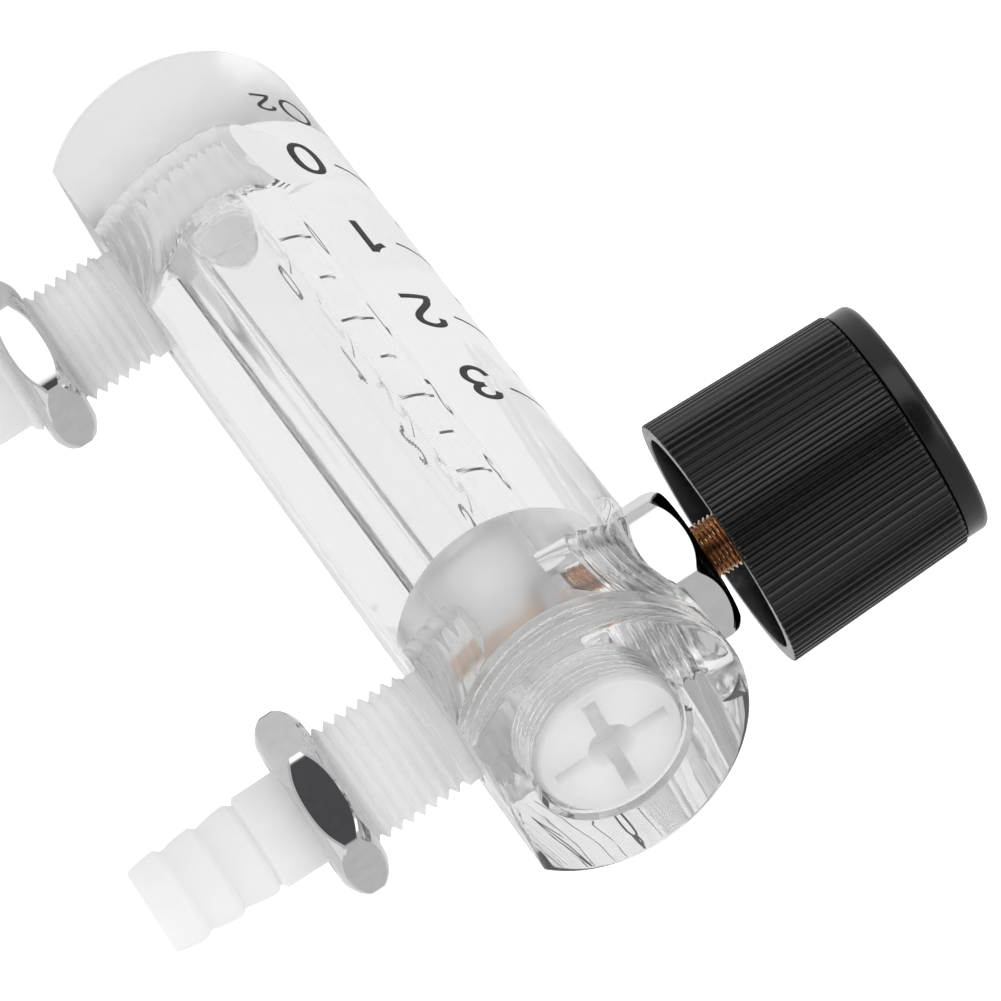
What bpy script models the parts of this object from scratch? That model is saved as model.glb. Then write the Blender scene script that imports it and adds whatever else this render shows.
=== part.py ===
"""Acrylic oxygen flowmeter: a clear tapered-bore block, two barbed hose connectors and a needle valve.

The block stands on its flat lower end. Z runs up the float bore, the flat back and the hose
connectors face +Y, and the valve and its knob face -Y.
"""

import math

import bmesh
import bpy
from mathutils import Matrix

MM = 0.001

# Clearances
FIT = 0.3 * MM  # between two pieces that touch in the real thing
SEGMENTS = 30  # facets round a small turned piece
RING_SEGMENTS = 20  # facets round a seal ring
SOCKET_SEGMENTS = 24  # facets round the plug's round socket
SCREW_SEGMENTS = 32  # facets round the knob's screw
BLOCK_SEGMENTS = 64  # facets round the block
CAP_SEGMENTS = 48  # facets round the knob's cap

# Block
BLOCK_RADIUS = 15.0 * MM
BLOCK_LENGTH = 111.0 * MM
FLAT_DISTANCE = 11.6 * MM  # from the block's axis to its flat back
BLOCK_CHAMFER = 0.9 * MM
INLET_HEIGHT = 14.5 * MM  # inlet axis above the lower end
VALVE_BELOW_TOP = 15.7 * MM  # outlet and valve axis below the upper end

# Float and its bore
BALL_RADIUS = 3.0 * MM
BALL_REST_HEIGHT = 22.4 * MM
BORE_CLEARANCE = 0.8 * MM  # ball to bore at the lower end
BORE_TAPER = 0.33 * MM  # what the bore's radius gains over its length
SEAT_HOLE_RADIUS = 2.2 * MM
SEAT_THICKNESS = 1.2 * MM  # below the edge that the ball rests on
SEAT_LIP = 1.3 * MM  # height of the cone above that edge
STOP_THICKNESS = 1.2 * MM
STOP_HOLE_RADIUS = 2.2 * MM

# Valve chamber and its plug
CHAMBER_RADIUS = 6.15 * MM
CHAMBER_BELOW_VALVE = 10.5 * MM
CHAMBER_ABOVE_VALVE = 6.5 * MM
PLUG_RADIUS = 7.7 * MM
PLUG_CHAMFER = 0.4 * MM
PLUG_SLOT_WIDTH = 1.5 * MM
PLUG_SLOT_REACH = 6.3 * MM
PLUG_SLOT_DEPTH = 2.4 * MM
PLUG_SOCKET_RADIUS = 2.5 * MM
PLUG_SOCKET_DEPTH = 3.6 * MM

# Seal rings
RING_SECTION = 0.42 * MM  # radius of an O-ring's section
RING_GROOVE_DEPTH = 1.05 * MM
RING_FACETS = 6

# Hose connectors
THREAD_RADIUS = 6.58 * MM  # G1/4 crest
THREAD_CORE_RADIUS = 5.72 * MM  # G1/4 root
THREAD_LENGTH = 14.8 * MM  # outside the block
COLLAR_RADIUS = 6.85 * MM
COLLAR_LENGTH = 1.6 * MM  # outside the block
CONNECTOR_BORE_RADIUS = 2.5 * MM
GROOVE_FROM_COLLAR = 0.9 * MM
INLET_REACH_GAP = 1.0 * MM  # connector's inner end to the float bore
PORT_SPOT_DEPTH = 0.5 * MM  # of the shallow seat that the collar stands in
PORT_OVERSHOOT = 0.4 * MM  # how far the blind inlet port runs past the float bore's far wall
NECK_RADIUS = 5.3 * MM
NECK_LENGTH = 5.6 * MM
BARB_COUNT = 3
BARB_PITCH = 4.05 * MM
BARB_RADIUS = 5.1 * MM
BARB_ROOT_RADIUS = 4.6 * MM
BARB_STEP = 0.45 * MM  # length of a barb's rounded back
BARB_CURVE_POINTS = 3

# Lock nuts
NUT_ACROSS_FLATS = 18.0 * MM
NUT_THICKNESS = 5.0 * MM
NUT_FROM_BLOCK = 11.9 * MM  # outlet nut's inner face, from the flat back
INLET_NUT_FROM_BLOCK = 10.3 * MM
NUT_FLAT_ANGLE = math.radians(46)  # of the flat that faces up and to +X
INLET_NUT_FLAT_ANGLE = math.radians(38)
NUT_CHAMFER = 0.9  # slope of a nut's chamfer cone: depth for each unit of radius
NUT_FACE_INSET = 0.9 * MM  # how far inside the flats a nut's round face ends
HEX_BLANK = 0.6  # radius of the blank, as a share of the distance across the flats

# Valve gland
SPOT_FACE_RADIUS = 10.0 * MM
SPOT_FACE_DEPTH = 3.1 * MM
GLAND_ACROSS_FLATS = 15.6 * MM
GLAND_HEX_LENGTH = 6.0 * MM
GLAND_FLAT_ANGLE = math.radians(24)
GLAND_CHAMFER = 0.9  # slope, as NUT_CHAMFER
GLAND_FACE_INSET = 0.35 * MM
GLAND_SHANK_RADIUS = 5.7 * MM
PACKING_WASHER_THICKNESS = 0.8 * MM
GLAND_GROOVE_FROM_HEX = 0.7 * MM

# Valve stem and seat
STEM_RADIUS = 3.0 * MM  # M6 x 0.5 crest
STEM_SCREW_DEPTH = 6.0 * MM
STOP_RING_RADIUS = 4.2 * MM
STOP_RING_LENGTH = 1.5 * MM
STOP_GROOVE_DEPTH = 0.6 * MM
STEM_SHOULDER = 0.8 * MM
OPEN_TRAVEL = 2.5 * MM  # from the rest position, five turns of the 0.5 mm thread
CLOSE_TRAVEL = 1.25 * MM
NEEDLE_RADIUS = 2.0 * MM
NEEDLE_TIP_RADIUS = 0.5 * MM
NEEDLE_CONE_LENGTH = 4.0 * MM
NEEDLE_GAP = 0.1 * MM  # needle to seat edge, measured from the axis, when closed
SEAT_BUSH_LENGTH = 2.7 * MM
SEAT_BUSH_WALL = 1.8 * MM
SEAT_BUSH_HOLE_RADIUS = 1.6 * MM
SEAT_BUSH_LEAD = 0.6 * MM

# Knob
KNOB_STANDOFF = 2.1 * MM  # skirt rim from the gland's front face
KNOB_RADIUS = 13.75 * MM
KNOB_LENGTH = 20.7 * MM
KNOB_TAPER = 0.6 * MM  # what the knob's radius loses from its rim to its front
KNOB_RIBS = 78
KNOB_RIB_DEPTH = 0.35 * MM
KNOB_RIB_TOP = 0.42  # share of a rib's pitch that its flat top takes
KNOB_FLUTE_START = 0.6  # shares of the pitch between which the flute's floor lies
KNOB_FLUTE_END = 0.82
SKIRT_WALL = 1.6 * MM
KNOB_WEB = 3.0 * MM
KNOB_RECESS_DEPTH = 5.0 * MM
KNOB_HUB_RADIUS = 7.0 * MM
KNOB_HUB_SETBACK = 4.4 * MM  # hub end behind the skirt rim
KNOB_LEDGE = 1.7 * MM  # width of the ledge round the cap's recess
INSERT_WALL = 1.3 * MM
CAP_RADIUS = 12.9 * MM
CAP_THICKNESS = 2.5 * MM
CAP_SPIGOT_LENGTH = 2.8 * MM
CAP_SPIGOT_WALL = 1.4 * MM
CAP_EDGE = 1.1 * MM  # radius of the cap's rounded edge
CAP_EDGE_POINTS = 6
SCREW_RADIUS = 1.25 * MM
SCREW_HEAD_RADIUS = 2.8 * MM
SCREW_HEAD_LENGTH = 1.7 * MM
SCREW_SLOT_WIDTH = 0.8 * MM
SCREW_SLOT_DEPTH = 0.8 * MM
SCREW_REACH = 5.0 * MM
WASHER_THICKNESS = 0.7 * MM
WASHER_RADIUS = 4.3 * MM

# Heights on the block's axis
VALVE_HEIGHT = BLOCK_LENGTH - VALVE_BELOW_TOP
CHAMBER_FLOOR = VALVE_HEIGHT - CHAMBER_BELOW_VALVE
CHAMBER_TOP = VALVE_HEIGHT + CHAMBER_ABOVE_VALVE
BORE_LOW_RADIUS = BALL_RADIUS + BORE_CLEARANCE
PORT_RADIUS = THREAD_CORE_RADIUS + FIT
PORT_SPOT_RADIUS = COLLAR_RADIUS + FIT
PORT_SPOT = FLAT_DISTANCE - PORT_SPOT_DEPTH
BALL_EDGE_DROP = math.sqrt(BALL_RADIUS**2 - SEAT_HOLE_RADIUS**2)
SEAT_EDGE = BALL_REST_HEIGHT - BALL_EDGE_DROP - FIT

# Distances from the block's axis on the connector side
CONNECTOR_COLLAR = PORT_SPOT + FIT
CONNECTOR_THREAD = FLAT_DISTANCE + FIT + COLLAR_LENGTH
CONNECTOR_NECK = FLAT_DISTANCE + THREAD_LENGTH + COLLAR_LENGTH
OUTLET_INNER_END = CHAMBER_RADIUS + FIT
INLET_INNER_END = BORE_LOW_RADIUS + INLET_REACH_GAP
SEAT_BUSH_RADIUS = SEAT_BUSH_HOLE_RADIUS + SEAT_BUSH_WALL
SEAT_BUSH_EDGE = OUTLET_INNER_END + SEAT_BUSH_LEAD

# Distances from the block's axis on the valve side
SPOT_FACE = BLOCK_RADIUS - SPOT_FACE_DEPTH
GLAND_HEX = SPOT_FACE + FIT
GLAND_FRONT = GLAND_HEX + GLAND_HEX_LENGTH
GLAND_INNER_END = CHAMBER_RADIUS + FIT
GLAND_BORE_RADIUS = STEM_RADIUS + FIT
PACKING_RADIUS = GLAND_BORE_RADIUS + 2 * RING_SECTION + FIT
PACKING_DEPTH = PACKING_WASHER_THICKNESS + 2 * RING_SECTION + 2 * FIT
STOP_RING_FRONT = GLAND_INNER_END - FIT - OPEN_TRAVEL
STOP_RING_BACK = STOP_RING_FRONT - STOP_RING_LENGTH
STOP_GROOVE_RADIUS = STEM_RADIUS - STOP_GROOVE_DEPTH
KNOB_RIM = GLAND_FRONT + KNOB_STANDOFF
KNOB_FRONT = KNOB_RIM + KNOB_LENGTH
KNOB_WEB_FRONT = KNOB_FRONT - KNOB_RECESS_DEPTH
KNOB_WEB_BACK = KNOB_WEB_FRONT - KNOB_WEB
INSERT_RADIUS = STEM_RADIUS + FIT + INSERT_WALL
INSERT_FRONT = KNOB_WEB_FRONT - FIT
STEM_FRONT = INSERT_FRONT - FIT
WASHER_BACK = KNOB_WEB_FRONT + FIT
SCREW_HEAD_BACK = WASHER_BACK + WASHER_THICKNESS + FIT


def clear_scene():
    """Removes what the scene holds, so that the model starts from nothing."""
    for thing in list(bpy.data.objects):
        bpy.data.objects.remove(thing, do_unlink=True)


def material(name, colour, roughness, metallic=0.0, transmission=0.0):
    """A Principled material."""
    made = bpy.data.materials.new(name)
    made.use_nodes = True
    shader = made.node_tree.nodes["Principled BSDF"]
    shader.inputs["Base Color"].default_value = (*colour, 1.0)
    shader.inputs["Roughness"].default_value = roughness
    shader.inputs["Metallic"].default_value = metallic
    shader.inputs["Transmission Weight"].default_value = transmission
    return made


def add(name, bm, look=None):
    """An object of the mesh in bm, shaded smooth between faces that meet gently."""
    bmesh.ops.recalc_face_normals(bm, faces=bm.faces)
    mesh = bpy.data.meshes.new(name)
    bm.to_mesh(mesh)
    bm.free()
    mesh.shade_smooth()
    mesh.set_sharp_from_angle(angle=math.radians(35))
    made = bpy.data.objects.new(name, mesh)
    bpy.context.collection.objects.link(made)
    if look is not None:
        mesh.materials.append(look)
    return made


def face_front(thing):
    """Turns a piece modelled along +Z so that it points to -Y at the valve's height."""
    thing.location = (0, 0, VALVE_HEIGHT)
    thing.rotation_euler = (math.radians(90), 0, 0)
    return thing


def face_back(thing, height):
    """Turns a piece modelled along +Z so that it points to +Y at the given height."""
    thing.location = (0, 0, height)
    thing.rotation_euler = (math.radians(-90), 0, 0)
    return thing


def turned(outline, segments=SEGMENTS, hollow=False):
    """A bmesh turned about Z from (radius, height) points. A hollow piece's outline is a ring."""
    bm = bmesh.new()
    verts = [bm.verts.new((radius, 0, height)) for radius, height in outline]
    edges = [bm.edges.new(pair) for pair in zip(verts, verts[1:])]
    if hollow:
        edges.append(bm.edges.new((verts[-1], verts[0])))
    bmesh.ops.spin(
        bm,
        geom=verts + edges,
        cent=(0, 0, 0),
        axis=(0, 0, 1),
        angle=2 * math.pi,
        steps=segments,
        use_merge=True,
    )
    bmesh.ops.remove_doubles(bm, verts=bm.verts, dist=0.001 * MM)
    return bm


def tube(inner, outer, low, high, segments=SEGMENTS):
    """A plain ring or bush."""
    return turned(
        [(inner, low), (outer, low), (outer, high), (inner, high)], segments, True
    )


def rod(radius, low, high, segments=SEGMENTS):
    """A plain cylinder."""
    return turned([(0, low), (radius, low), (radius, high), (0, high)], segments)


def arc(centre_radius, centre_height, radius, start, end, points):
    """(radius, height) points on an arc, its angles in degrees from +radius towards +height."""
    angles = [start + (end - start) * i / (points - 1) for i in range(points)]
    return [
        (
            centre_radius + radius * math.cos(math.radians(a)),
            centre_height + radius * math.sin(math.radians(a)),
        )
        for a in angles
    ]


def prism(points, low, high):
    """A bmesh extruded along Z from an outline of (x, y) points."""
    bm = bmesh.new()
    face = bm.faces.new([bm.verts.new((x, y, low)) for x, y in points])
    made = bmesh.ops.extrude_face_region(bm, geom=[face])["geom"]
    top = [v for v in made if isinstance(v, bmesh.types.BMVert)]
    bmesh.ops.translate(bm, verts=top, vec=(0, 0, high - low))
    return bm


def box(low, high):
    """A bmesh box between two corners."""
    outline = [(low[0], low[1]), (high[0], low[1]), (high[0], high[1]), (low[0], high[1])]
    return prism(outline, low[2], high[2])


def combine(target, tool, operation="DIFFERENCE"):
    """Cuts target with tool, or joins or intersects the two, by an exact Boolean modifier."""
    tool.display_type = "WIRE"
    tool.hide_render = True
    tool.hide_viewport = False
    step = target.modifiers.new(operation.lower(), "BOOLEAN")
    step.operation = operation
    step.solver = "EXACT"
    step.object = tool
    return target


def tool(name, bm):
    """A cutter that combine hides."""
    return add("cutter_" + name, bm)


def cut_together(target, tools):
    """Cuts target with several cutters in one exact step, so that none meets a rounded cut."""
    group = bpy.data.collections.new(target.name + "_cutters")
    bpy.context.scene.collection.children.link(group)
    for cutter in tools:
        cutter.display_type = "WIRE"
        cutter.hide_render = True
        group.objects.link(cutter)
        bpy.context.collection.objects.unlink(cutter)
    step = target.modifiers.new("difference", "BOOLEAN")
    step.operation = "DIFFERENCE"
    step.solver = "EXACT"
    step.operand_type = "COLLECTION"
    step.collection = group
    return target


def hexagon(across_flats, flat_angle):
    """Corners of a hexagon with one flat's normal at flat_angle from +X."""
    corner = across_flats / math.sqrt(3)
    angles = [flat_angle + math.radians(30 + 60 * i) for i in range(6)]
    return [(corner * math.cos(a), corner * math.sin(a)) for a in angles]


def hex_cone(across_flats, low, high, slope, inset):
    """The turned blank that chamfers a hexagon's corners; it runs on past both faces."""
    face = across_flats / 2 - inset
    rim = across_flats * HEX_BLANK
    drop = (rim - face) * slope
    tip = face - FIT / slope
    outline = [(0, low - FIT), (tip, low - FIT), (rim, low + drop)]
    outline += [(rim, high - drop), (tip, high + FIT), (0, high + FIT)]
    return turned(outline)


def ring_groove(outer, low):
    """A tool for an O-ring's groove in a shank of the given outer radius."""
    width = 2 * (RING_SECTION + FIT)
    return tube(outer - RING_GROOVE_DEPTH, outer + 2 * FIT, low, low + width)


def o_ring(name, inner, height, look):
    """An O-ring of the given inner radius, its middle at the given height."""
    bm = turned(
        arc(inner + RING_SECTION, height, RING_SECTION, 0, 360, RING_FACETS + 1)[:-1],
        RING_SEGMENTS,
        True,
    )
    return add(name, bm, look)


def block_outline():
    """The block's section: a circle cut by the flat back."""
    start = math.asin(FLAT_DISTANCE / BLOCK_RADIUS)
    sweep = math.pi + 2 * start
    steps = BLOCK_SEGMENTS
    angles = [math.pi - start + sweep * i / steps for i in range(steps + 1)]
    return [(BLOCK_RADIUS * math.cos(a), BLOCK_RADIUS * math.sin(a)) for a in angles]


def block_blank():
    """The D-section bar with chamfered ends."""
    bm = prism(block_outline(), 0, BLOCK_LENGTH)
    ends = [e for e in bm.edges if abs(e.verts[0].co.z - e.verts[1].co.z) < FIT]
    bmesh.ops.bevel(
        bm,
        geom=ends,
        offset=BLOCK_CHAMFER,
        offset_type="OFFSET",
        segments=2,
        profile=0.5,
        affect="EDGES",
    )
    return bm


def half_facet(thing):
    """Turns a cutter by half a facet, so that its edges miss those of the bore it meets."""
    thing.data.transform(Matrix.Rotation(math.pi / SEGMENTS, 4, "Z"))
    return thing


def port_tool(name, low, outside):
    """The cutter of a connector's port, with the shallow seat of its collar."""
    port = turned(
        [
            (0, low),
            (PORT_RADIUS, low),
            (PORT_RADIUS, PORT_SPOT),
            (PORT_SPOT_RADIUS, PORT_SPOT),
            (PORT_SPOT_RADIUS, outside),
            (0, outside),
        ]
    )
    return half_facet(tool(name, port))


def make_block(look):
    """The clear block with its tapered bore, valve chamber, ports and spot face."""
    mouth = PLUG_RADIUS + FIT
    bore = turned(
        [
            (0, INLET_HEIGHT),
            (BORE_LOW_RADIUS, INLET_HEIGHT),
            (BORE_LOW_RADIUS + BORE_TAPER, CHAMBER_FLOOR),
            (CHAMBER_RADIUS, CHAMBER_FLOOR),
            (CHAMBER_RADIUS, CHAMBER_TOP),
            (mouth, CHAMBER_TOP),
            (mouth, BLOCK_LENGTH - PLUG_CHAMFER),
            (mouth + 2 * PLUG_CHAMFER, BLOCK_LENGTH + PLUG_CHAMFER),
            (0, BLOCK_LENGTH + PLUG_CHAMFER),
        ]
    )
    outside = BLOCK_RADIUS + SPOT_FACE_DEPTH
    inlet_end = BORE_LOW_RADIUS + PORT_OVERSHOOT
    into_chamber = CHAMBER_RADIUS / 2
    shank_hole = GLAND_SHANK_RADIUS + FIT
    valve = turned(
        [
            (0, into_chamber),
            (shank_hole, into_chamber),
            (shank_hole, SPOT_FACE),
            (SPOT_FACE_RADIUS, SPOT_FACE),
            (SPOT_FACE_RADIUS, outside),
            (0, outside),
        ]
    )
    return cut_together(
        add("block", block_blank(), look),
        [
            tool("bore", bore),
            face_back(port_tool("inlet_port", -inlet_end, outside), INLET_HEIGHT),
            face_back(port_tool("outlet_port", into_chamber, outside), VALVE_HEIGHT),
            face_front(tool("valve_hole", valve)),
        ],
    )


def make_float(clear, plastic):
    """The float ball, the seat it rests on and the disc that stops it at the top."""
    ball = bmesh.new()
    bmesh.ops.create_uvsphere(ball, u_segments=20, v_segments=12, radius=BALL_RADIUS)
    float_ball = add("float_ball", ball, clear)
    float_ball.location = (0, 0, BALL_REST_HEIGHT)
    seat_low = SEAT_EDGE - SEAT_THICKNESS
    seat_high = SEAT_EDGE + SEAT_LIP
    seat_outer = BORE_LOW_RADIUS - FIT
    lip = math.sqrt(BALL_RADIUS**2 - (BALL_REST_HEIGHT - seat_high) ** 2) + FIT
    seat = [(SEAT_HOLE_RADIUS, seat_low), (seat_outer, seat_low)]
    seat += [(seat_outer, seat_high), (lip, seat_high), (SEAT_HOLE_RADIUS, SEAT_EDGE)]
    add("float_seat", turned(seat, SEGMENTS, True), plastic)
    stop_low = CHAMBER_FLOOR + FIT
    add(
        "float_stop",
        tube(
            STOP_HOLE_RADIUS, CHAMBER_RADIUS - FIT, stop_low, stop_low + STOP_THICKNESS
        ),
        plastic,
    )


def make_top_plug(plastic, rubber):
    """The white threaded plug that closes the valve chamber, with its cross recess and seal."""
    ring_outer = PLUG_RADIUS - FIT
    ring_inner = ring_outer - 2 * RING_SECTION
    ring_height = CHAMBER_TOP + FIT + RING_SECTION
    plug_low = ring_height + RING_SECTION + FIT
    plug = add(
        "top_plug",
        turned(
            [
                (0, plug_low),
                (PLUG_RADIUS - PLUG_CHAMFER, plug_low),
                (PLUG_RADIUS, plug_low + PLUG_CHAMFER),
                (PLUG_RADIUS, BLOCK_LENGTH - PLUG_CHAMFER),
                (PLUG_RADIUS - PLUG_CHAMFER, BLOCK_LENGTH),
                (0, BLOCK_LENGTH),
            ]
        ),
        plastic,
    )
    half = PLUG_SLOT_WIDTH / 2
    slot_low = BLOCK_LENGTH - PLUG_SLOT_DEPTH
    above = BLOCK_LENGTH + PLUG_CHAMFER
    for name, reach_x, reach_y in (
        ("plug_slot_x", PLUG_SLOT_REACH, half),
        ("plug_slot_y", half, PLUG_SLOT_REACH),
    ):
        slot = box((-reach_x, -reach_y, slot_low), (reach_x, reach_y, above))
        combine(plug, tool(name, slot))
    socket = rod(PLUG_SOCKET_RADIUS, BLOCK_LENGTH - PLUG_SOCKET_DEPTH, above, SOCKET_SEGMENTS)
    combine(plug, tool("plug_socket", socket))
    o_ring("top_plug_seal", ring_inner, ring_height, rubber)


def barb_outline():
    """The hose end's outline from the neck to the tip: long curved tapers with rounded backs."""
    points = []
    rise = BARB_RADIUS - BARB_ROOT_RADIUS
    for i in range(BARB_COUNT):
        back = CONNECTOR_NECK + NECK_LENGTH + BARB_PITCH * i
        crest = back + BARB_STEP
        end = back + BARB_PITCH
        points.append((BARB_ROOT_RADIUS, back))
        points.append((BARB_RADIUS - rise / 4, back + BARB_STEP / 4))
        for j in range(BARB_CURVE_POINTS):
            share = j / BARB_CURVE_POINTS
            radius = BARB_RADIUS - rise * share * share
            points.append((radius, crest + (end - crest) * share))
    tip = CONNECTOR_NECK + NECK_LENGTH + BARB_PITCH * BARB_COUNT
    points.append((BARB_ROOT_RADIUS - rise / 4, tip))
    return points


def make_connector(name, height, inner_end, plastic, rubber, seal_name):
    """A bored, threaded hose connector with its seal ring. Its thread is a plain cylinder."""
    edge = FIT
    outline = [
        (CONNECTOR_BORE_RADIUS, inner_end),
        (THREAD_CORE_RADIUS, inner_end),
        (THREAD_CORE_RADIUS, CONNECTOR_COLLAR),
        (COLLAR_RADIUS, CONNECTOR_COLLAR),
        (COLLAR_RADIUS, CONNECTOR_THREAD - 2 * edge),
        (COLLAR_RADIUS - edge / 2, CONNECTOR_THREAD - edge / 2),
        (THREAD_CORE_RADIUS, CONNECTOR_THREAD),
        (THREAD_RADIUS, CONNECTOR_THREAD + THREAD_RADIUS - THREAD_CORE_RADIUS),
        (THREAD_RADIUS, CONNECTOR_NECK - 2 * edge),
        (THREAD_CORE_RADIUS, CONNECTOR_NECK),
        (NECK_RADIUS, CONNECTOR_NECK),
    ]
    outline += barb_outline()
    tip = outline[-1][1]
    outline.append((CONNECTOR_BORE_RADIUS, tip))
    connector = face_back(add(name, turned(outline, SEGMENTS, True), plastic), height)
    groove_high = CONNECTOR_COLLAR - GROOVE_FROM_COLLAR
    groove_low = groove_high - 2 * (RING_SECTION + FIT)
    groove = face_back(
        tool(name + "_groove", ring_groove(THREAD_CORE_RADIUS, groove_low)), height
    )
    combine(connector, groove)
    ring_inner = PORT_RADIUS - FIT - 2 * RING_SECTION
    middle = (groove_low + groove_high) / 2
    face_back(o_ring(seal_name, ring_inner, middle, rubber), height)
    return connector


def make_seat_bush(outlet, brass):
    """The bush that the needle closes, in a pocket of the outlet connector's inner end."""
    pocket = rod(
        SEAT_BUSH_RADIUS + FIT,
        OUTLET_INNER_END - FIT,
        OUTLET_INNER_END + SEAT_BUSH_LENGTH + FIT,
    )
    combine(outlet, face_back(tool("seat_pocket", pocket), VALVE_HEIGHT))
    bush_end = OUTLET_INNER_END + SEAT_BUSH_LENGTH
    outline = [
        (SEAT_BUSH_HOLE_RADIUS + SEAT_BUSH_LEAD, OUTLET_INNER_END),
        (SEAT_BUSH_RADIUS, OUTLET_INNER_END),
        (SEAT_BUSH_RADIUS, bush_end),
        (SEAT_BUSH_HOLE_RADIUS, bush_end),
        (SEAT_BUSH_HOLE_RADIUS, SEAT_BUSH_EDGE),
    ]
    bush = add("valve_seat", turned(outline, SEGMENTS, True), brass)
    face_back(bush, VALVE_HEIGHT)


def make_lock_nut(name, height, distance, flat_angle, chrome):
    """A thin hexagon lock nut, chamfered on both faces, on a connector's thread."""
    low = FLAT_DISTANCE + distance
    high = low + NUT_THICKNESS
    nut = add(name, prism(hexagon(NUT_ACROSS_FLATS, -flat_angle), low, high), chrome)
    cone = hex_cone(NUT_ACROSS_FLATS, low, high, NUT_CHAMFER, NUT_FACE_INSET)
    blank = tool(name + "_blank", cone)
    combine(nut, face_back(blank, height), "INTERSECT")
    hole_radius = THREAD_RADIUS + FIT
    lead = 2 * FIT
    hole = turned(
        [
            (0, low - lead),
            (hole_radius + 2 * lead, low - lead),
            (hole_radius, low + lead),
            (hole_radius, high - lead),
            (hole_radius + 2 * lead, high + lead),
            (0, high + lead),
        ]
    )
    combine(nut, face_back(tool(name + "_hole", hole), height))
    return face_back(nut, height)


def make_gland(chrome, rubber, brass):
    """The chromed gland that screws into the block and carries the stem, with its seals."""
    gland = add(
        "valve_gland",
        prism(hexagon(GLAND_ACROSS_FLATS, GLAND_FLAT_ANGLE), GLAND_HEX, GLAND_FRONT),
        chrome,
    )
    blank = hex_cone(
        GLAND_ACROSS_FLATS, GLAND_HEX, GLAND_FRONT, GLAND_CHAMFER, GLAND_FACE_INSET
    )
    combine(gland, face_front(tool("gland_blank", blank)), "INTERSECT")
    into_hex = GLAND_HEX + GLAND_HEX_LENGTH / 2
    shank = rod(GLAND_SHANK_RADIUS, GLAND_INNER_END, into_hex)
    combine(gland, face_front(tool("gland_shank", shank)), "UNION")
    past = GLAND_FRONT + FIT
    packing_end = GLAND_INNER_END + PACKING_DEPTH
    bore = turned(
        [
            (0, GLAND_INNER_END - FIT),
            (PACKING_RADIUS, GLAND_INNER_END - FIT),
            (PACKING_RADIUS, packing_end),
            (GLAND_BORE_RADIUS, packing_end),
            (GLAND_BORE_RADIUS, past),
            (0, past),
        ]
    )
    combine(gland, face_front(tool("gland_bore", bore)))
    groove_high = GLAND_HEX - GLAND_GROOVE_FROM_HEX
    groove_low = groove_high - 2 * (RING_SECTION + FIT)
    groove = ring_groove(GLAND_SHANK_RADIUS, groove_low)
    combine(gland, face_front(tool("gland_groove", groove)))
    face_front(gland)
    middle = (groove_low + groove_high) / 2
    seal_inner = GLAND_SHANK_RADIUS - 2 * RING_SECTION
    face_front(o_ring("gland_seal", seal_inner, middle, rubber))
    washer = tube(
        GLAND_BORE_RADIUS,
        PACKING_RADIUS - FIT,
        GLAND_INNER_END,
        GLAND_INNER_END + PACKING_WASHER_THICKNESS,
    )
    face_front(add("packing_washer", washer, brass))
    ring_height = GLAND_INNER_END + PACKING_WASHER_THICKNESS + FIT + RING_SECTION
    face_front(o_ring("stem_seal", GLAND_BORE_RADIUS, ring_height, rubber))


def make_stem(brass, steel):
    """The brass spindle with its needle, and the ring in its groove that stops the opening."""
    seat_point = -(SEAT_BUSH_EDGE - CLOSE_TRAVEL)
    closed_radius = SEAT_BUSH_HOLE_RADIUS - NEEDLE_GAP
    cone_slope = (NEEDLE_RADIUS - NEEDLE_TIP_RADIUS) / NEEDLE_CONE_LENGTH
    cone_start = seat_point + (NEEDLE_RADIUS - closed_radius) / cone_slope
    needle_end = cone_start - NEEDLE_CONE_LENGTH
    groove_back = STOP_RING_BACK - FIT
    groove_front = STOP_RING_FRONT + FIT
    screw_hole = SCREW_RADIUS + FIT
    stem = turned(
        [
            (0, needle_end),
            (NEEDLE_TIP_RADIUS, needle_end),
            (NEEDLE_RADIUS, cone_start),
            (NEEDLE_RADIUS, groove_back - STEM_SHOULDER),
            (STEM_RADIUS, groove_back - STEM_SHOULDER),
            (STEM_RADIUS, groove_back),
            (STOP_GROOVE_RADIUS, groove_back),
            (STOP_GROOVE_RADIUS, groove_front),
            (STEM_RADIUS, groove_front),
            (STEM_RADIUS, STEM_FRONT),
            (screw_hole, STEM_FRONT),
            (screw_hole, STEM_FRONT - STEM_SCREW_DEPTH),
            (0, STEM_FRONT - STEM_SCREW_DEPTH),
        ]
    )
    face_front(add("valve_stem", stem, brass))
    ring_inner = STOP_GROOVE_RADIUS + FIT
    ring = tube(ring_inner, STOP_RING_RADIUS, STOP_RING_BACK, STOP_RING_FRONT)
    face_front(add("stop_ring", ring, steel))


def knob_rib_outline():
    """The knob's fluted section: KNOB_RIBS flat-topped ribs."""
    root = KNOB_RADIUS - KNOB_RIB_DEPTH
    points = []
    for i in range(KNOB_RIBS):
        for share, radius in (
            (0.0, KNOB_RADIUS),
            (KNOB_RIB_TOP, KNOB_RADIUS),
            (KNOB_FLUTE_START, root),
            (KNOB_FLUTE_END, root),
        ):
            angle = 2 * math.pi * (i + share) / KNOB_RIBS
            points.append((radius * math.cos(angle), radius * math.sin(angle)))
    return points


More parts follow.
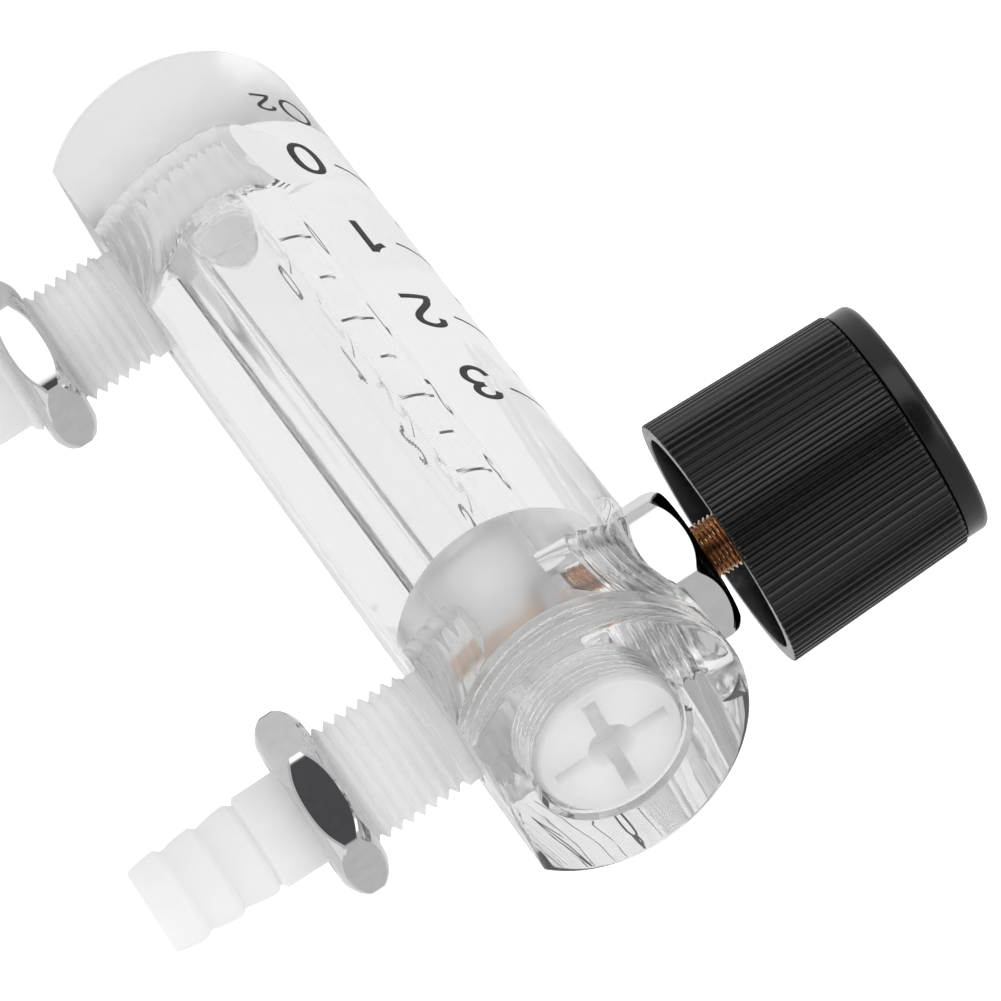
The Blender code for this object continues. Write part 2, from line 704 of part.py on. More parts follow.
def make_knob(black, brass, steel):
    """The fluted knob, its brass insert, fixing screw and washer, and the cap over them."""
    blank = prism(knob_rib_outline(), KNOB_RIM, KNOB_FRONT)
    for vert in blank.verts:
        if vert.co.z > KNOB_RIM + FIT:
            vert.co.xy *= 1 - KNOB_TAPER / KNOB_RADIUS
    knob = add("knob_body", blank, black)
    skirt_inner = KNOB_RADIUS - KNOB_RIB_DEPTH - SKIRT_WALL
    hub_hole = INSERT_RADIUS + FIT
    hub_back = KNOB_RIM + KNOB_HUB_SETBACK
    hollow = turned(
        [
            (hub_hole, hub_back),
            (KNOB_HUB_RADIUS, hub_back),
            (KNOB_HUB_RADIUS, KNOB_WEB_BACK),
            (skirt_inner, KNOB_WEB_BACK),
            (skirt_inner, KNOB_RIM - FIT),
            (hub_hole, KNOB_RIM - FIT),
        ],
        SEGMENTS,
        True,
    )
    combine(knob, face_front(tool("knob_hollow", hollow)))
    recess = KNOB_RADIUS - KNOB_RIB_DEPTH - KNOB_LEDGE
    middle = turned(
        [
            (0, KNOB_RIM - 2 * FIT),
            (hub_hole, KNOB_RIM - 2 * FIT),
            (hub_hole, KNOB_WEB_FRONT),
            (recess, KNOB_WEB_FRONT),
            (recess, KNOB_FRONT + FIT),
            (0, KNOB_FRONT + FIT),
        ]
    )
    combine(knob, face_front(tool("knob_bore", middle)))
    face_front(knob)
    insert = tube(STEM_RADIUS + FIT, INSERT_RADIUS, hub_back, INSERT_FRONT)
    face_front(add("knob_insert", insert, brass))
    washer = tube(
        SCREW_RADIUS + FIT, WASHER_RADIUS, WASHER_BACK, WASHER_BACK + WASHER_THICKNESS
    )
    face_front(add("knob_washer", washer, steel))
    make_knob_screw(steel)
    make_knob_cap(recess, black)


def make_knob_screw(steel):
    """The slotted screw that holds the knob on the stem."""
    head_front = SCREW_HEAD_BACK + SCREW_HEAD_LENGTH
    edge = SCREW_HEAD_LENGTH / 3
    screw = add(
        "knob_screw",
        turned(
            [
                (0, STEM_FRONT - SCREW_REACH),
                (SCREW_RADIUS, STEM_FRONT - SCREW_REACH),
                (SCREW_RADIUS, SCREW_HEAD_BACK),
                (SCREW_HEAD_RADIUS, SCREW_HEAD_BACK),
                (SCREW_HEAD_RADIUS, head_front - edge),
                (SCREW_HEAD_RADIUS - edge, head_front),
                (0, head_front),
            ],
            SCREW_SEGMENTS,
        ),
        steel,
    )
    slot = box(
        (-2 * SCREW_HEAD_RADIUS, -SCREW_SLOT_WIDTH / 2, head_front - SCREW_SLOT_DEPTH),
        (2 * SCREW_HEAD_RADIUS, SCREW_SLOT_WIDTH / 2, head_front + FIT),
    )
    combine(screw, face_front(tool("screw_slot", slot)))
    face_front(screw)


def make_knob_cap(recess, black):
    """The smooth cap with a rounded edge, clipped into the knob by a spigot."""
    back = KNOB_FRONT + FIT
    front = back + CAP_THICKNESS
    spigot_outer = recess - FIT
    spigot_inner = spigot_outer - CAP_SPIGOT_WALL
    spigot_end = KNOB_FRONT - CAP_SPIGOT_LENGTH
    outline = [(0, back), (spigot_inner, back), (spigot_inner, spigot_end)]
    outline += [(spigot_outer, spigot_end), (spigot_outer, back), (CAP_RADIUS, back)]
    outline += arc(CAP_RADIUS - CAP_EDGE, front - CAP_EDGE, CAP_EDGE, 0, 90, CAP_EDGE_POINTS)
    outline.append((0, front))
    face_front(add("knob_cap", turned(outline, CAP_SEGMENTS), black))


def main():
    clear_scene()
    acrylic = material("clear_acrylic", (0.93, 0.94, 0.95), 0.05, transmission=0.95)
    ball_glass = material("clear_float", (0.9, 0.91, 0.92), 0.05, transmission=0.9)
    nylon = material("white_nylon", (0.88, 0.89, 0.89), 0.45)
    rubber = material("clear_silicone", (0.8, 0.81, 0.8), 0.5)
    chrome = material("chromed_brass", (0.78, 0.78, 0.79), 0.08, metallic=1.0)
    brass = material("brass", (0.66, 0.43, 0.2), 0.25, metallic=1.0)
    steel = material("steel", (0.62, 0.62, 0.63), 0.3, metallic=1.0)
    black = material("black_plastic", (0.014, 0.014, 0.015), 0.42)
    make_block(acrylic)
    make_float(ball_glass, nylon)
    make_top_plug(nylon, rubber)
    make_connector(
        "inlet_connector", INLET_HEIGHT, INLET_INNER_END, nylon, rubber, "inlet_seal"
    )
    outlet = make_connector(
        "outlet_connector", VALVE_HEIGHT, OUTLET_INNER_END, nylon, rubber, "outlet_seal"
    )
    make_seat_bush(outlet, brass)
    make_lock_nut(
        "inlet_lock_nut", INLET_HEIGHT, INLET_NUT_FROM_BLOCK, INLET_NUT_FLAT_ANGLE, chrome
    )
    make_lock_nut(
        "outlet_lock_nut", VALVE_HEIGHT, NUT_FROM_BLOCK, NUT_FLAT_ANGLE, chrome
    )
    make_gland(chrome, rubber, brass)
    make_stem(brass, steel)
    make_knob(black, brass, steel)
    bpy.context.view_layer.update()


main()
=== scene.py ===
"""Dresses the acrylic oxygen flowmeter: threads, knurls, printed scale, finishes and stage."""

import math

import bmesh
import bpy
import numpy as np
from bpy.props import (
    FloatProperty,
    FloatVectorProperty,
    IntProperty,
    PointerProperty,
)
from mathutils import Matrix, Vector


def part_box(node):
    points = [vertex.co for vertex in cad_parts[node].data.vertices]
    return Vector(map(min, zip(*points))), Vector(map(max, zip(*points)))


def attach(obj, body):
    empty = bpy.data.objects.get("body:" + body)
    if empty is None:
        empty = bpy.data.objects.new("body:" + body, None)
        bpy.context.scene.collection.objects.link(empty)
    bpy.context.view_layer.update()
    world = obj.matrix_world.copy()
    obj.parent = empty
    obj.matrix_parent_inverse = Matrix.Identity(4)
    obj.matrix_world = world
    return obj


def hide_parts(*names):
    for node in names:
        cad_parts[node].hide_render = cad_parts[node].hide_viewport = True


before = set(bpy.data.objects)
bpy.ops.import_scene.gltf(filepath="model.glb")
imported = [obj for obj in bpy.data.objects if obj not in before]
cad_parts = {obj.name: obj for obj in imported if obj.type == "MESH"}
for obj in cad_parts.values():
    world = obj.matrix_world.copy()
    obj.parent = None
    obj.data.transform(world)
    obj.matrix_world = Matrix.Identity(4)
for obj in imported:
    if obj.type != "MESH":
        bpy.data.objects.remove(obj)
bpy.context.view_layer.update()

bl_info = {
    "name": "Acrylic Flowmeter",
    "version": (1, 0, 0),
    "blender": (4, 5, 0),
    "location": "View3D > Sidebar > Flowmeter",
    "description": "Builds the visible pieces of an acrylic oxygen flowmeter on its frame",
    "category": "Object",
}

MM = 0.001
BLOCK_RADIUS, FLAT_DISTANCE, BLOCK_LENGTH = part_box("block")[1]


def middle_height(node):
    """Height of a node's middle."""
    low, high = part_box(node)
    return (low[2] + high[2]) / 2


VALVE_HEIGHT = middle_height("valve_stem")
INLET_HEIGHT = middle_height("inlet_connector")
OUTLET_HEIGHT = middle_height("outlet_connector")
COLLAR_RADIUS = 6.85 * MM
COLLAR_SEAT = 0.5 * MM  # depth of the shallow seat that a connector's collar stands in
COLLAR_LENGTH = 1.6 * MM  # outside the block
THREAD_LENGTH = 14.8 * MM  # of a connector, past its collar
NECK_LENGTH = 5.6 * MM  # from the thread to the barbs
NECK_RADIUS = 5.2 * MM
BARB_CREST = 5.08 * MM
BARB_ROOT = 4.6 * MM
BARB_COUNT = 3
HOSE_BORE = 2.5 * MM  # radius of the hole through a connector


# Settings


def length(name, millimetres, description):
    """A length property, its default given in millimetres."""
    return FloatProperty(
        name=name,
        description=description,
        default=millimetres * MM,
        min=0.0,
        precision=5,
        subtype="DISTANCE",
        unit="LENGTH",
    )


def colour(name, value, description):
    """A colour property."""
    return FloatVectorProperty(
        name=name,
        description=description,
        default=value,
        min=0.0,
        max=1.0,
        size=3,
        subtype="COLOR",
    )


class FlowmeterBlockSettings(bpy.types.PropertyGroup):
    """Sizes inside the clear block."""

    edge: length("Edge Round", 0.8, "Radius of the polished round on the block's ends")
    bore_low: length("Bore Low Radius", 3.83, "Float bore radius at its lower end")
    bore_high: length("Bore High Radius", 4.13, "Float bore radius at its upper end")
    chamber: length("Chamber Radius", 6.15, "Radius of the frosted valve chamber")
    mouth: length("Mouth Radius", 8.05, "Crest radius of the plug's tapped mouth")
    floor: length("Chamber Floor", 10.5, "Chamber floor below the valve's axis")
    roof: length("Chamber Roof", 6.5, "Chamber roof above the valve's axis")
    spot: length("Spot Face Radius", 10.0, "Radius of the spot face under the gland")
    spot_depth: length("Spot Face Depth", 3.1, "Depth of the spot face")


class FlowmeterThreadSettings(bpy.types.PropertyGroup):
    """Thread sizes."""

    pipe_crest: length("Pipe Crest", 6.58, "Crest radius of the connector thread")
    pipe_pitch: length("Pipe Pitch", 1.337, "Pitch of the connector thread")
    pipe_depth: length("Pipe Depth", 0.78, "Depth of the connector thread")
    gland_crest: length("Gland Crest", 5.95, "Crest radius of the gland thread")
    gland_pitch: length("Gland Pitch", 1.0, "Pitch of the gland thread")
    gland_depth: length("Gland Depth", 0.55, "Depth of the gland thread")
    plug_pitch: length("Plug Pitch", 1.337, "Pitch of the plug thread")
    plug_depth: length("Plug Depth", 0.7, "Depth of the plug thread")
    mouth_depth: length("Mouth Depth", 0.35, "Depth of the tapped mouth's grooves")
    stem_pitch: length("Stem Pitch", 0.5, "Pitch of the stem thread")
    stem_depth: length("Stem Depth", 0.28, "Depth of the stem thread")
    running: length("Running Gap", 0.1, "Gap between a thread and its tapped hole")


class FlowmeterScaleSettings(bpy.types.PropertyGroup):
    """The printed scale."""

    zero: length("Zero Height", 23.4, "Height of the zero mark")
    one: length("One Height", 39.5, "Height of the mark at 1")
    two: length("Two Height", 54.25, "Height of the mark at 2")
    three: length("Three Height", 68.15, "Height of the mark at 3")
    numeral: length("Numeral Height", 6.57, "Height of the numerals")
    stroke: length("Stroke", 0.82, "Width of the numerals' strokes")
    tick: length("Tick Width", 0.4, "Width of the marks")
    film: length("Ink Film", 0.016, "Thickness of the ink, half of it sunk in the polish")
    ink: colour("Ink", (0.012, 0.012, 0.013), "Colour of the print")


class FlowmeterKnobSettings(bpy.types.PropertyGroup):
    """The fluted knob."""

    ribs: IntProperty(name="Ribs", description="Ribs round the knob", default=78, min=8)
    rib_depth: length("Rib Depth", 0.34, "Depth of the grooves between the ribs")
    skirt_wall: length("Skirt Wall", 1.5, "Thickness of the skirt at its rim")


class FlowmeterFinishSettings(bpy.types.PropertyGroup):
    """Colours of the finishes."""

    acrylic: colour("Acrylic", (0.96, 0.96, 0.96), "Tint of the clear block")
    machined: colour("Machined", (0.99, 0.99, 0.99), "Tint of its machined surfaces")
    ball: colour("Ball", (0.92, 0.92, 0.92), "Tint of the float ball")
    nylon: colour("Nylon", (0.965, 0.965, 0.965), "Connectors")
    plug: colour("Plug", (0.92, 0.92, 0.92), "Top plug")
    chrome: colour("Chrome", (0.62, 0.62, 0.625), "Nuts and gland")
    brass: colour("Brass", (0.7, 0.43, 0.26), "Stem and bushes")
    steel: colour("Steel", (0.55, 0.55, 0.56), "Screw, washer and stop ring")
    plastic: colour("Knob", (0.005, 0.005, 0.0052), "Knob and cap")
    silicone: colour("Silicone", (0.80, 0.80, 0.79), "Seal rings")
    floor: colour("Floor", (0.93, 0.93, 0.93), "Floor under the meter")


def settings(name):
    """The scene's settings of one kind."""
    return getattr(bpy.context.scene, "flowmeter_" + name)


# Finishes


COLOUR_SPREAD = (0.35, 0.65)  # part of a noise's range that the colour is spread over
ROUGHNESS_SPREAD = (0.3, 0.7)  # part of it that the roughness is spread over
WAVE_PER_UNIT = 20  # a wave texture's phase, in radians for each unit of length and scale
ACRYLIC_IOR = 1.49


def give(node, **values):
    """Sets a node's inputs by name, and its other values by lower-case name."""
    for key, value in values.items():
        if key.islower():
            setattr(node, key, value)
        else:
            node.inputs[key.replace("_", " ")].default_value = value
    return node


class Nodes:
    """A material's node tree, with short calls for adding and joining nodes."""

    def __init__(self, name):
        self.material = bpy.data.materials.new(name)
        self.material.use_nodes = True
        self.tree = self.material.node_tree
        self.shader = self.tree.nodes["Principled BSDF"]
        self.coordinates = self.add("ShaderNodeTexCoord").outputs["Object"]

    def add(self, kind, **values):
        """A new node with its values."""
        return give(self.tree.nodes.new(kind), **values)

    def join(self, output, entry):
        """Links two sockets."""
        self.tree.links.new(output, entry)

    def noise(self, scale, detail=3.0):
        """A noise texture's factor, in cycles per metre."""
        node = self.add("ShaderNodeTexNoise", Scale=scale, Detail=detail)
        self.join(self.coordinates, node.inputs["Vector"])
        return node.outputs["Fac"]

    def colour_from(self, factor, dark, light):
        """Base colour between two colours by a factor."""
        ramp = self.add("ShaderNodeValToRGB")
        for stop, position, value in zip(
            ramp.color_ramp.elements, COLOUR_SPREAD, (dark, light)
        ):
            stop.position = position
            stop.color = (*value, 1)
        self.join(factor, ramp.inputs["Fac"])
        self.join(ramp.outputs["Color"], self.shader.inputs["Base Color"])

    def roughness_from(self, factor, low, high):
        """Roughness between two values by a factor."""
        start, end = ROUGHNESS_SPREAD
        spread = self.add(
            "ShaderNodeMapRange", From_Min=start, From_Max=end, To_Min=low, To_Max=high
        )
        self.join(factor, spread.inputs["Value"])
        self.join(spread.outputs["Result"], self.shader.inputs["Roughness"])

    def bump(self, factor, height, strength=1.0):
        """Bump of a height in metres by a factor."""
        node = self.add("ShaderNodeBump", Strength=strength, Distance=height)
        self.join(factor, node.inputs["Height"])
        self.join(node.outputs["Normal"], self.shader.inputs["Normal"])

    def rings(self, pitch):
        """Turning marks: a wave along the piece's own axis."""
        node = self.add(
            "ShaderNodeTexWave",
            Scale=2 * math.pi / pitch / WAVE_PER_UNIT,
            Distortion=1.2,
            Detail=2.0,
            bands_direction="Z",
        )
        self.join(self.coordinates, node.inputs["Vector"])
        return node.outputs["Fac"]


def scaled(value, factor):
    """A colour made darker or lighter."""
    return tuple(min(1.0, c * factor) for c in value)


def clear_finish(name, tint, rough, haze, pitch=None, depth=0.0):
    """Clear acrylic, polished or machined; haze is how much of the light it scatters."""
    nodes = Nodes(name)
    give(nodes.shader, Base_Color=(*tint, 1), Transmission_Weight=1 - haze, IOR=ACRYLIC_IOR)
    nodes.roughness_from(nodes.noise(900, 2.0), rough[0], rough[1])
    if pitch:
        nodes.bump(nodes.rings(pitch), depth)
    return nodes.material


def metal_finish(name, tint, rough, ring_pitch=None):
    """Plated or turned metal with faint handling marks."""
    nodes = Nodes(name)
    give(nodes.shader, Metallic=1.0)
    haze = nodes.noise(700, 4.0)
    nodes.colour_from(haze, scaled(tint, 0.94), tint)
    nodes.roughness_from(nodes.noise(1500, 3.0), rough[0], rough[1])
    if ring_pitch:
        nodes.bump(nodes.rings(ring_pitch), 0.00001, 0.4)
    else:
        nodes.bump(nodes.noise(2500, 3.0), 0.0000025, 0.3)
    return nodes.material


def moulded_finish(name, tint, rough, grain, glow=0.0, sheen=0.5):
    """Moulded plastic or rubber; glow is how far light spreads inside it, in millimetres."""
    nodes = Nodes(name)
    give(nodes.shader, Specular_IOR_Level=sheen)
    cloud = nodes.noise(260, 3.0)
    nodes.colour_from(cloud, scaled(tint, 0.965), tint)
    nodes.roughness_from(nodes.noise(1800, 4.0), rough[0], rough[1])
    nodes.bump(nodes.noise(grain, 4.0), 0.00001, 0.35)
    if glow:
        give(nodes.shader, Subsurface_Weight=1.0, Subsurface_Radius=(1.0, 1.0, 1.0))
        give(nodes.shader, Subsurface_Scale=glow * MM)
    return nodes.material


def ink_finish(name, tint):
    """Printing ink with a slightly uneven film."""
    nodes = Nodes(name)
    nodes.colour_from(nodes.noise(3000, 2.0), tint, scaled(tint, 1.6))
    give(nodes.shader, Roughness=0.6)
    return nodes.material


def finish(name):
    """A finish by name, made when it is first asked for."""
    made = bpy.data.materials.get("finish_" + name)
    if made:
        return made
    tints = settings("finish")
    recipes = {
        "polished": (clear_finish, tints.acrylic, (0.0, 0.012), 0.05),
        "bored": (clear_finish, tints.machined, (0.02, 0.05), 0.04, 0.5 * MM, 0.0012 * MM),
        "frosted": (clear_finish, tints.machined, (0.36, 0.46), 0.15),
        "sawn": (clear_finish, tints.machined, (0.16, 0.24), 0.1),
        "tapped_port": (clear_finish, tints.machined, (0.32, 0.42), 0.3),
        "tapped_mouth": (clear_finish, tints.machined, (0.2, 0.28), 0.15),
        "ball": (clear_finish, tints.ball, (0.02, 0.04), 0.12),
        "nylon": (moulded_finish, tints.nylon, (0.36, 0.5), 900, 4.0),
        "plug": (moulded_finish, tints.plug, (0.36, 0.5), 900, 12.0),
        "silicone": (moulded_finish, tints.silicone, (0.4, 0.55), 1200, 1.0),
        "plastic": (moulded_finish, tints.plastic, (0.16, 0.28), 2600, 0.0, 0.38),
        "chrome": (metal_finish, tints.chrome, (0.05, 0.11)),
        "brass": (metal_finish, tints.brass, (0.2, 0.32), 0.3 * MM),
        "steel": (metal_finish, tints.steel, (0.24, 0.36), 0.25 * MM),
        "ink": (ink_finish, settings("scale").ink),
    }
    maker, *values = recipes[name]
    return maker("finish_" + name, *values)


# Meshes


SHARP = 32  # degrees past which an edge is left sharp
SHARP_HEXAGON = 11  # on hexagons, whose turned faces meet the flats at a low angle
SMOOTH = 180  # leaves no edge sharp


def ring_mesh(name, points, closed, sharp=SHARP):
    """A mesh object of a grid of points, columns wrapping round; a closed grid's rows wrap too."""
    rows, columns = points.shape[:2]
    i = np.arange(rows if closed else rows - 1)[:, None] * columns
    below = (i + columns) % (rows * columns)
    j = np.arange(columns)[None, :]
    k = (j + 1) % columns
    quads = np.stack([i + j, i + k, below + k, below + j], -1).reshape(-1, 4)
    faces = quads.tolist()
    if not closed:
        faces.append(list(range(columns))[::-1])
        faces.append(list(range((rows - 1) * columns, rows * columns)))
    mesh = bpy.data.meshes.new(name)
    mesh.from_pydata(points.reshape(-1, 3).tolist(), [], faces)
    return mesh_object(name, mesh, sharp)


def mesh_object(name, mesh, sharp=SHARP):
    """An object of a mesh, its normals made to point out and its gentle edges smooth."""
    work = bmesh.new()
    work.from_mesh(mesh)
    bmesh.ops.recalc_face_normals(work, faces=work.faces)
    work.to_mesh(mesh)
    work.free()
    mesh.shade_smooth()
    mesh.set_sharp_from_angle(angle=math.radians(sharp))
    made = bpy.data.objects.new(name, mesh)
    bpy.context.collection.objects.link(made)
    return made


def worked_object(name, work, sharp=SHARP):
    """An object of what was worked up in a bmesh, which is freed."""
    mesh = bpy.data.meshes.new(name)
    work.to_mesh(mesh)
    work.free()
    return mesh_object(name, mesh, sharp)


def thread_shape(turns):
    """How deep a thread is cut, 0 at its crest and 1 at its root, by turns along it."""
    crest, side = 0.92, 0.78  # where the crest starts and how wide a side is, in half turns
    swing = np.abs((turns % 1.0) - 0.5) * 2
    return np.clip((crest - swing) / side, 0.0, 1.0)


def turned(name, profile, sides=96, closed=False, thread=None, radius=None):
    """A turned piece from (radius, height) rows.

    thread is (crest, depth, pitch, low, high), cut into what stands over it between two heights.
    radius, where it is given, changes (radii, angles, heights) into new radii.
    """
    rows = np.array(profile, dtype=float)
    angles = np.linspace(0, 2 * math.pi, sides, endpoint=False)[None, :]
    heights = np.repeat(rows[:, 1][:, None], sides, 1)
    radii = np.repeat(rows[:, 0][:, None], sides, 1)
    if thread:
        crest, depth, pitch, low, high = thread
        cut = crest - depth * thread_shape(heights / pitch - angles / (2 * math.pi))
        inside = (heights >= low) & (heights <= high) & (radii > crest - depth)
        radii = np.where(inside, np.minimum(radii, cut), radii)
    if radius:
        radii = radius(radii, angles, heights)
    points = np.stack([radii * np.cos(angles), radii * np.sin(angles), heights], -1)
    return ring_mesh(name, points, closed)


def span(radius, low, high, step):
    """Rows at one radius, evenly spaced from one height to another."""
    count = max(2, int(round(abs(high - low) / step)) + 1)
    return [(radius, float(z)) for z in np.linspace(low, high, count)]


def fillet(radius, height, size, start, end, points=6):
    """Rows round a corner's centre, with angles in degrees from +radius to +height."""
    angles = np.radians(np.linspace(start, end, points))
    return [(radius + size * math.cos(a), height + size * math.sin(a)) for a in angles]


TURNS = {"front": 90, "back": -90}  # degrees about X that lay +Z along a direction


def face_towards(piece, towards, height):
    """Turns a piece's own Z to the front or the back, at a height."""
    turn = Matrix.Rotation(math.radians(TURNS[towards]), 4, "X")
    piece.matrix_world = Matrix.Translation((0, 0, height)) @ turn


def place(piece, finish_name, body, replaced=(), towards=None, height=0.0):
    """Gives a piece its finish, turns it to the front or the back if asked, and seats it."""
    if towards:
        face_towards(piece, towards, height)
    piece.data.materials.append(finish(finish_name))
    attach(piece, body)
    if replaced:
        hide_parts(*replaced)


def distances(node, side):
    """(near, far) of a node's box from the block's axis, along +Y or -Y."""
    low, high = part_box(node)
    return (low[1], high[1]) if side == "back" else (-high[1], -low[1])


def dress(finish_name, *nodes):
    """Gives nodes that stay visible their finish."""
    for node in nodes:
        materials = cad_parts[node].data.materials
        materials.clear()
        materials.append(finish(finish_name))


# Block


def d_outline(inset, count=240):
    """Points round the block's section, moved in by inset."""
    radius = BLOCK_RADIUS - inset
    flat = FLAT_DISTANCE - inset
    start = math.asin(flat / radius)
    angles = np.linspace(math.pi - start, 2 * math.pi + start, count)
    arc = np.stack([radius * np.cos(angles), radius * np.sin(angles)], -1)
    along = np.linspace(arc[-1, 0], arc[0, 0], 26)[1:-1]
    back = np.stack([along, np.full(len(along), flat)], -1)
    return np.concatenate([arc, back])


def block_bar(edge):
    """The polished D-section bar with rounded end edges."""
    rounds = [math.radians(a) for a in np.linspace(90, 0, 6)]
    low = [(edge - edge * math.cos(a), edge - edge * math.sin(a)) for a in rounds]
    high = [(inset, BLOCK_LENGTH - z) for inset, z in reversed(low)]
    grid = []
    for inset, z in low + high:
        outline = d_outline(inset)
        grid.append(np.concatenate([outline, np.full((len(outline), 1), z)], 1))
    return ring_mesh("acrylic_block", np.array(grid), False)


def cutter(name, profile, towards=None, height=0.0, sides=96):
    """A turned cutter, set where it cuts."""
    piece = turned(name, profile, sides)
    if towards:
        face_towards(piece, towards, height)
    return piece


PORT_GROOVE = 0.2 * MM  # depth of a tapped port's soft grooves
ROWS_PER_TURN = 12  # of a groove


def port_cutter(name, near, height):
    """The cutter of a tapped port in the flat back, with the seat of its collar."""
    sizes = settings("threads")
    wall = sizes.pipe_crest + sizes.running
    seat = FLAT_DISTANCE - COLLAR_SEAT
    collar = COLLAR_RADIUS + 0.3 * MM
    low = near + sizes.pipe_depth
    rows = [(wall - sizes.pipe_depth, near)]
    rows += grooves(wall + PORT_GROOVE / 2, PORT_GROOVE, sizes.pipe_pitch, low, seat)
    rows += [(wall, seat), (collar, seat), (collar, FLAT_DISTANCE + 3 * MM)]
    return cutter(name, rows, "back", height)


def grooves(crest, depth, pitch, low, limit):
    """Rows of a tapped wall's soft grooves, whole turns from a height up to a limit."""
    turns = int((limit - low) / pitch)
    heights = np.linspace(low, low + turns * pitch, turns * ROWS_PER_TURN + 1)
    swing = 0.5 - 0.5 * np.cos(2 * math.pi * (heights - low) / pitch)
    return [(crest - depth * s, float(z)) for s, z in zip(swing, heights)]


def block_cutters():
    """What the block's bore, chamber, mouth, ports and valve hole take out."""
    sizes = settings("block")
    threads = settings("threads")
    floor = VALVE_HEIGHT - sizes.floor
    roof = VALVE_HEIGHT + sizes.roof
    bore = [(sizes.bore_low, INLET_HEIGHT)]
    bore += [(sizes.bore_high, floor + 0.5 * MM)]
    chamber = [(sizes.chamber - 0.3 * MM, floor), (sizes.chamber, floor + 0.3 * MM)]
    chamber += [(sizes.chamber, roof + 1 * MM)]
    low = roof + 0.2 * MM
    high = BLOCK_LENGTH - 0.5 * MM
    crest = sizes.mouth + threads.running
    mouth = [(crest, roof)]
    mouth += grooves(crest, threads.mouth_depth, threads.plug_pitch, low, high)
    mouth += [(crest, high), (crest + 0.6 * MM, BLOCK_LENGTH + 0.1 * MM)]
    mouth += [(crest + 0.6 * MM, BLOCK_LENGTH + 2 * MM)]
    spot = BLOCK_RADIUS - sizes.spot_depth
    shank = threads.gland_crest + threads.running
    inside = sizes.chamber / 2
    low = sizes.chamber - 0.6 * MM
    valve = [(shank, inside)]
    valve += grooves(shank, threads.gland_depth, threads.gland_pitch, low, spot)
    valve += [(shank + 0.4 * MM, spot)]
    valve += [(sizes.spot, spot), (sizes.spot, BLOCK_RADIUS + 3 * MM)]
    return [
        cutter("cut_bore", bore, sides=128),
        cutter("cut_chamber", chamber, sides=128),
        cutter("cut_mouth", mouth, sides=128),
        port_cutter("cut_inlet", -(sizes.bore_low + 0.4 * MM), INLET_HEIGHT),
        port_cutter("cut_outlet", inside, OUTLET_HEIGHT),
        cutter("cut_valve", valve, "front", VALVE_HEIGHT),
    ]


def carve(piece, cutters):
    """Cuts the cutters out of a piece and removes them."""
    for tool in cutters:
        step = piece.modifiers.new(tool.name, "BOOLEAN")
        step.operation = "DIFFERENCE"
        step.solver = "EXACT"
        step.object = tool
    bpy.context.view_layer.update()
    graph = bpy.context.evaluated_depsgraph_get()
    carved = bpy.data.meshes.new_from_object(piece.evaluated_get(graph))
    piece.modifiers.clear()
    piece.data = carved
    for tool in cutters:
        bpy.data.objects.remove(tool, do_unlink=True)
    carved.shade_smooth()
    carved.set_sharp_from_angle(angle=math.radians(SHARP))
    return piece


BLOCK_FINISHES = (
    "polished",
    "bored",
    "frosted",
    "tapped_port",
    "tapped_mouth",
    "sawn",
)
CLOSE = 0.1 * MM  # how near to a surface a face's middle is when the face belongs to it


def block_finish(centre):
    """The finish of one of the block's faces, by where its middle is."""
    sizes = settings("block")
    reach = math.hypot(centre.x, centre.y)
    if centre.z < 0.2 * CLOSE:
        return "sawn"
    if reach > BLOCK_RADIUS - CLOSE or centre.z > BLOCK_LENGTH - 3 * CLOSE:
        return "polished"
    if centre.z < sizes.edge or centre.y > FLAT_DISTANCE - CLOSE:
        return "polished"
    floor = VALVE_HEIGHT - sizes.floor
    roof = VALVE_HEIGHT + sizes.roof
    if centre.z < floor - 0.1 * CLOSE and reach < sizes.bore_high + 1.5 * CLOSE:
        return "bored"
    if floor - CLOSE < centre.z < roof + CLOSE and reach < sizes.chamber + CLOSE:
        return "frosted"
    if centre.z > roof - CLOSE and reach > sizes.chamber:
        beside = abs(centre.z - VALVE_HEIGHT) < sizes.spot + CLOSE
        if not (beside and centre.y < -BLOCK_RADIUS + sizes.spot_depth + CLOSE):
            return "tapped_mouth"
    return "bored" if centre.y < 0 and centre.z > floor else "tapped_port"


class FLOWMETER_OT_block(bpy.types.Operator):
    """Builds the clear block with its tapped ports, tapered bore and valve chamber"""

    bl_idname = "flowmeter.block"
    bl_label = "Acrylic Block"

    def execute(self, context):
        block = carve(block_bar(settings("block").edge), block_cutters())
        for name in BLOCK_FINISHES:
            block.data.materials.append(finish(name))
        for face in block.data.polygons:
            face.material_index = BLOCK_FINISHES.index(block_finish(face.center))
        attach(block, "housing")
        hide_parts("block")
        return {"FINISHED"}


# Printed scale


def smooth_path(points, per_span=7):
    """Points along a curve through the given points."""
    known = [Vector(p) for p in points]
    known = [2 * known[0] - known[1]] + known + [2 * known[-1] - known[-2]]
    path = []
    for a, b, c, d in zip(known, known[1:], known[2:], known[3:]):
        for i in range(per_span):
            t = i / per_span
            path.append(
                0.5
                * (
                    2 * b
                    + (c - a) * t
                    + (2 * a - 5 * b + 4 * c - d) * t * t
                    + (3 * b - a - 3 * c + d) * t**3
                )
            )
    path.append(known[-2])
    return path


def oval(width, height, squareness=2.3, count=48):
    """A closed oval stroke, its ends meeting."""
    path = []
    for i in range(count + 1):
        a = 2 * math.pi * i / count
        c, s = math.cos(a), math.sin(a)
        x = math.copysign(abs(c) ** (2 / squareness), c) * width / 2
        y = math.copysign(abs(s) ** (2 / squareness), s) * height / 2
        path.append(Vector((x, y)))
    return path


def straight(start, end, count=6):
    """Points along a straight stroke."""
    a, b = Vector(start), Vector(end)
    return [a.lerp(b, i / (count - 1)) for i in range(count)]


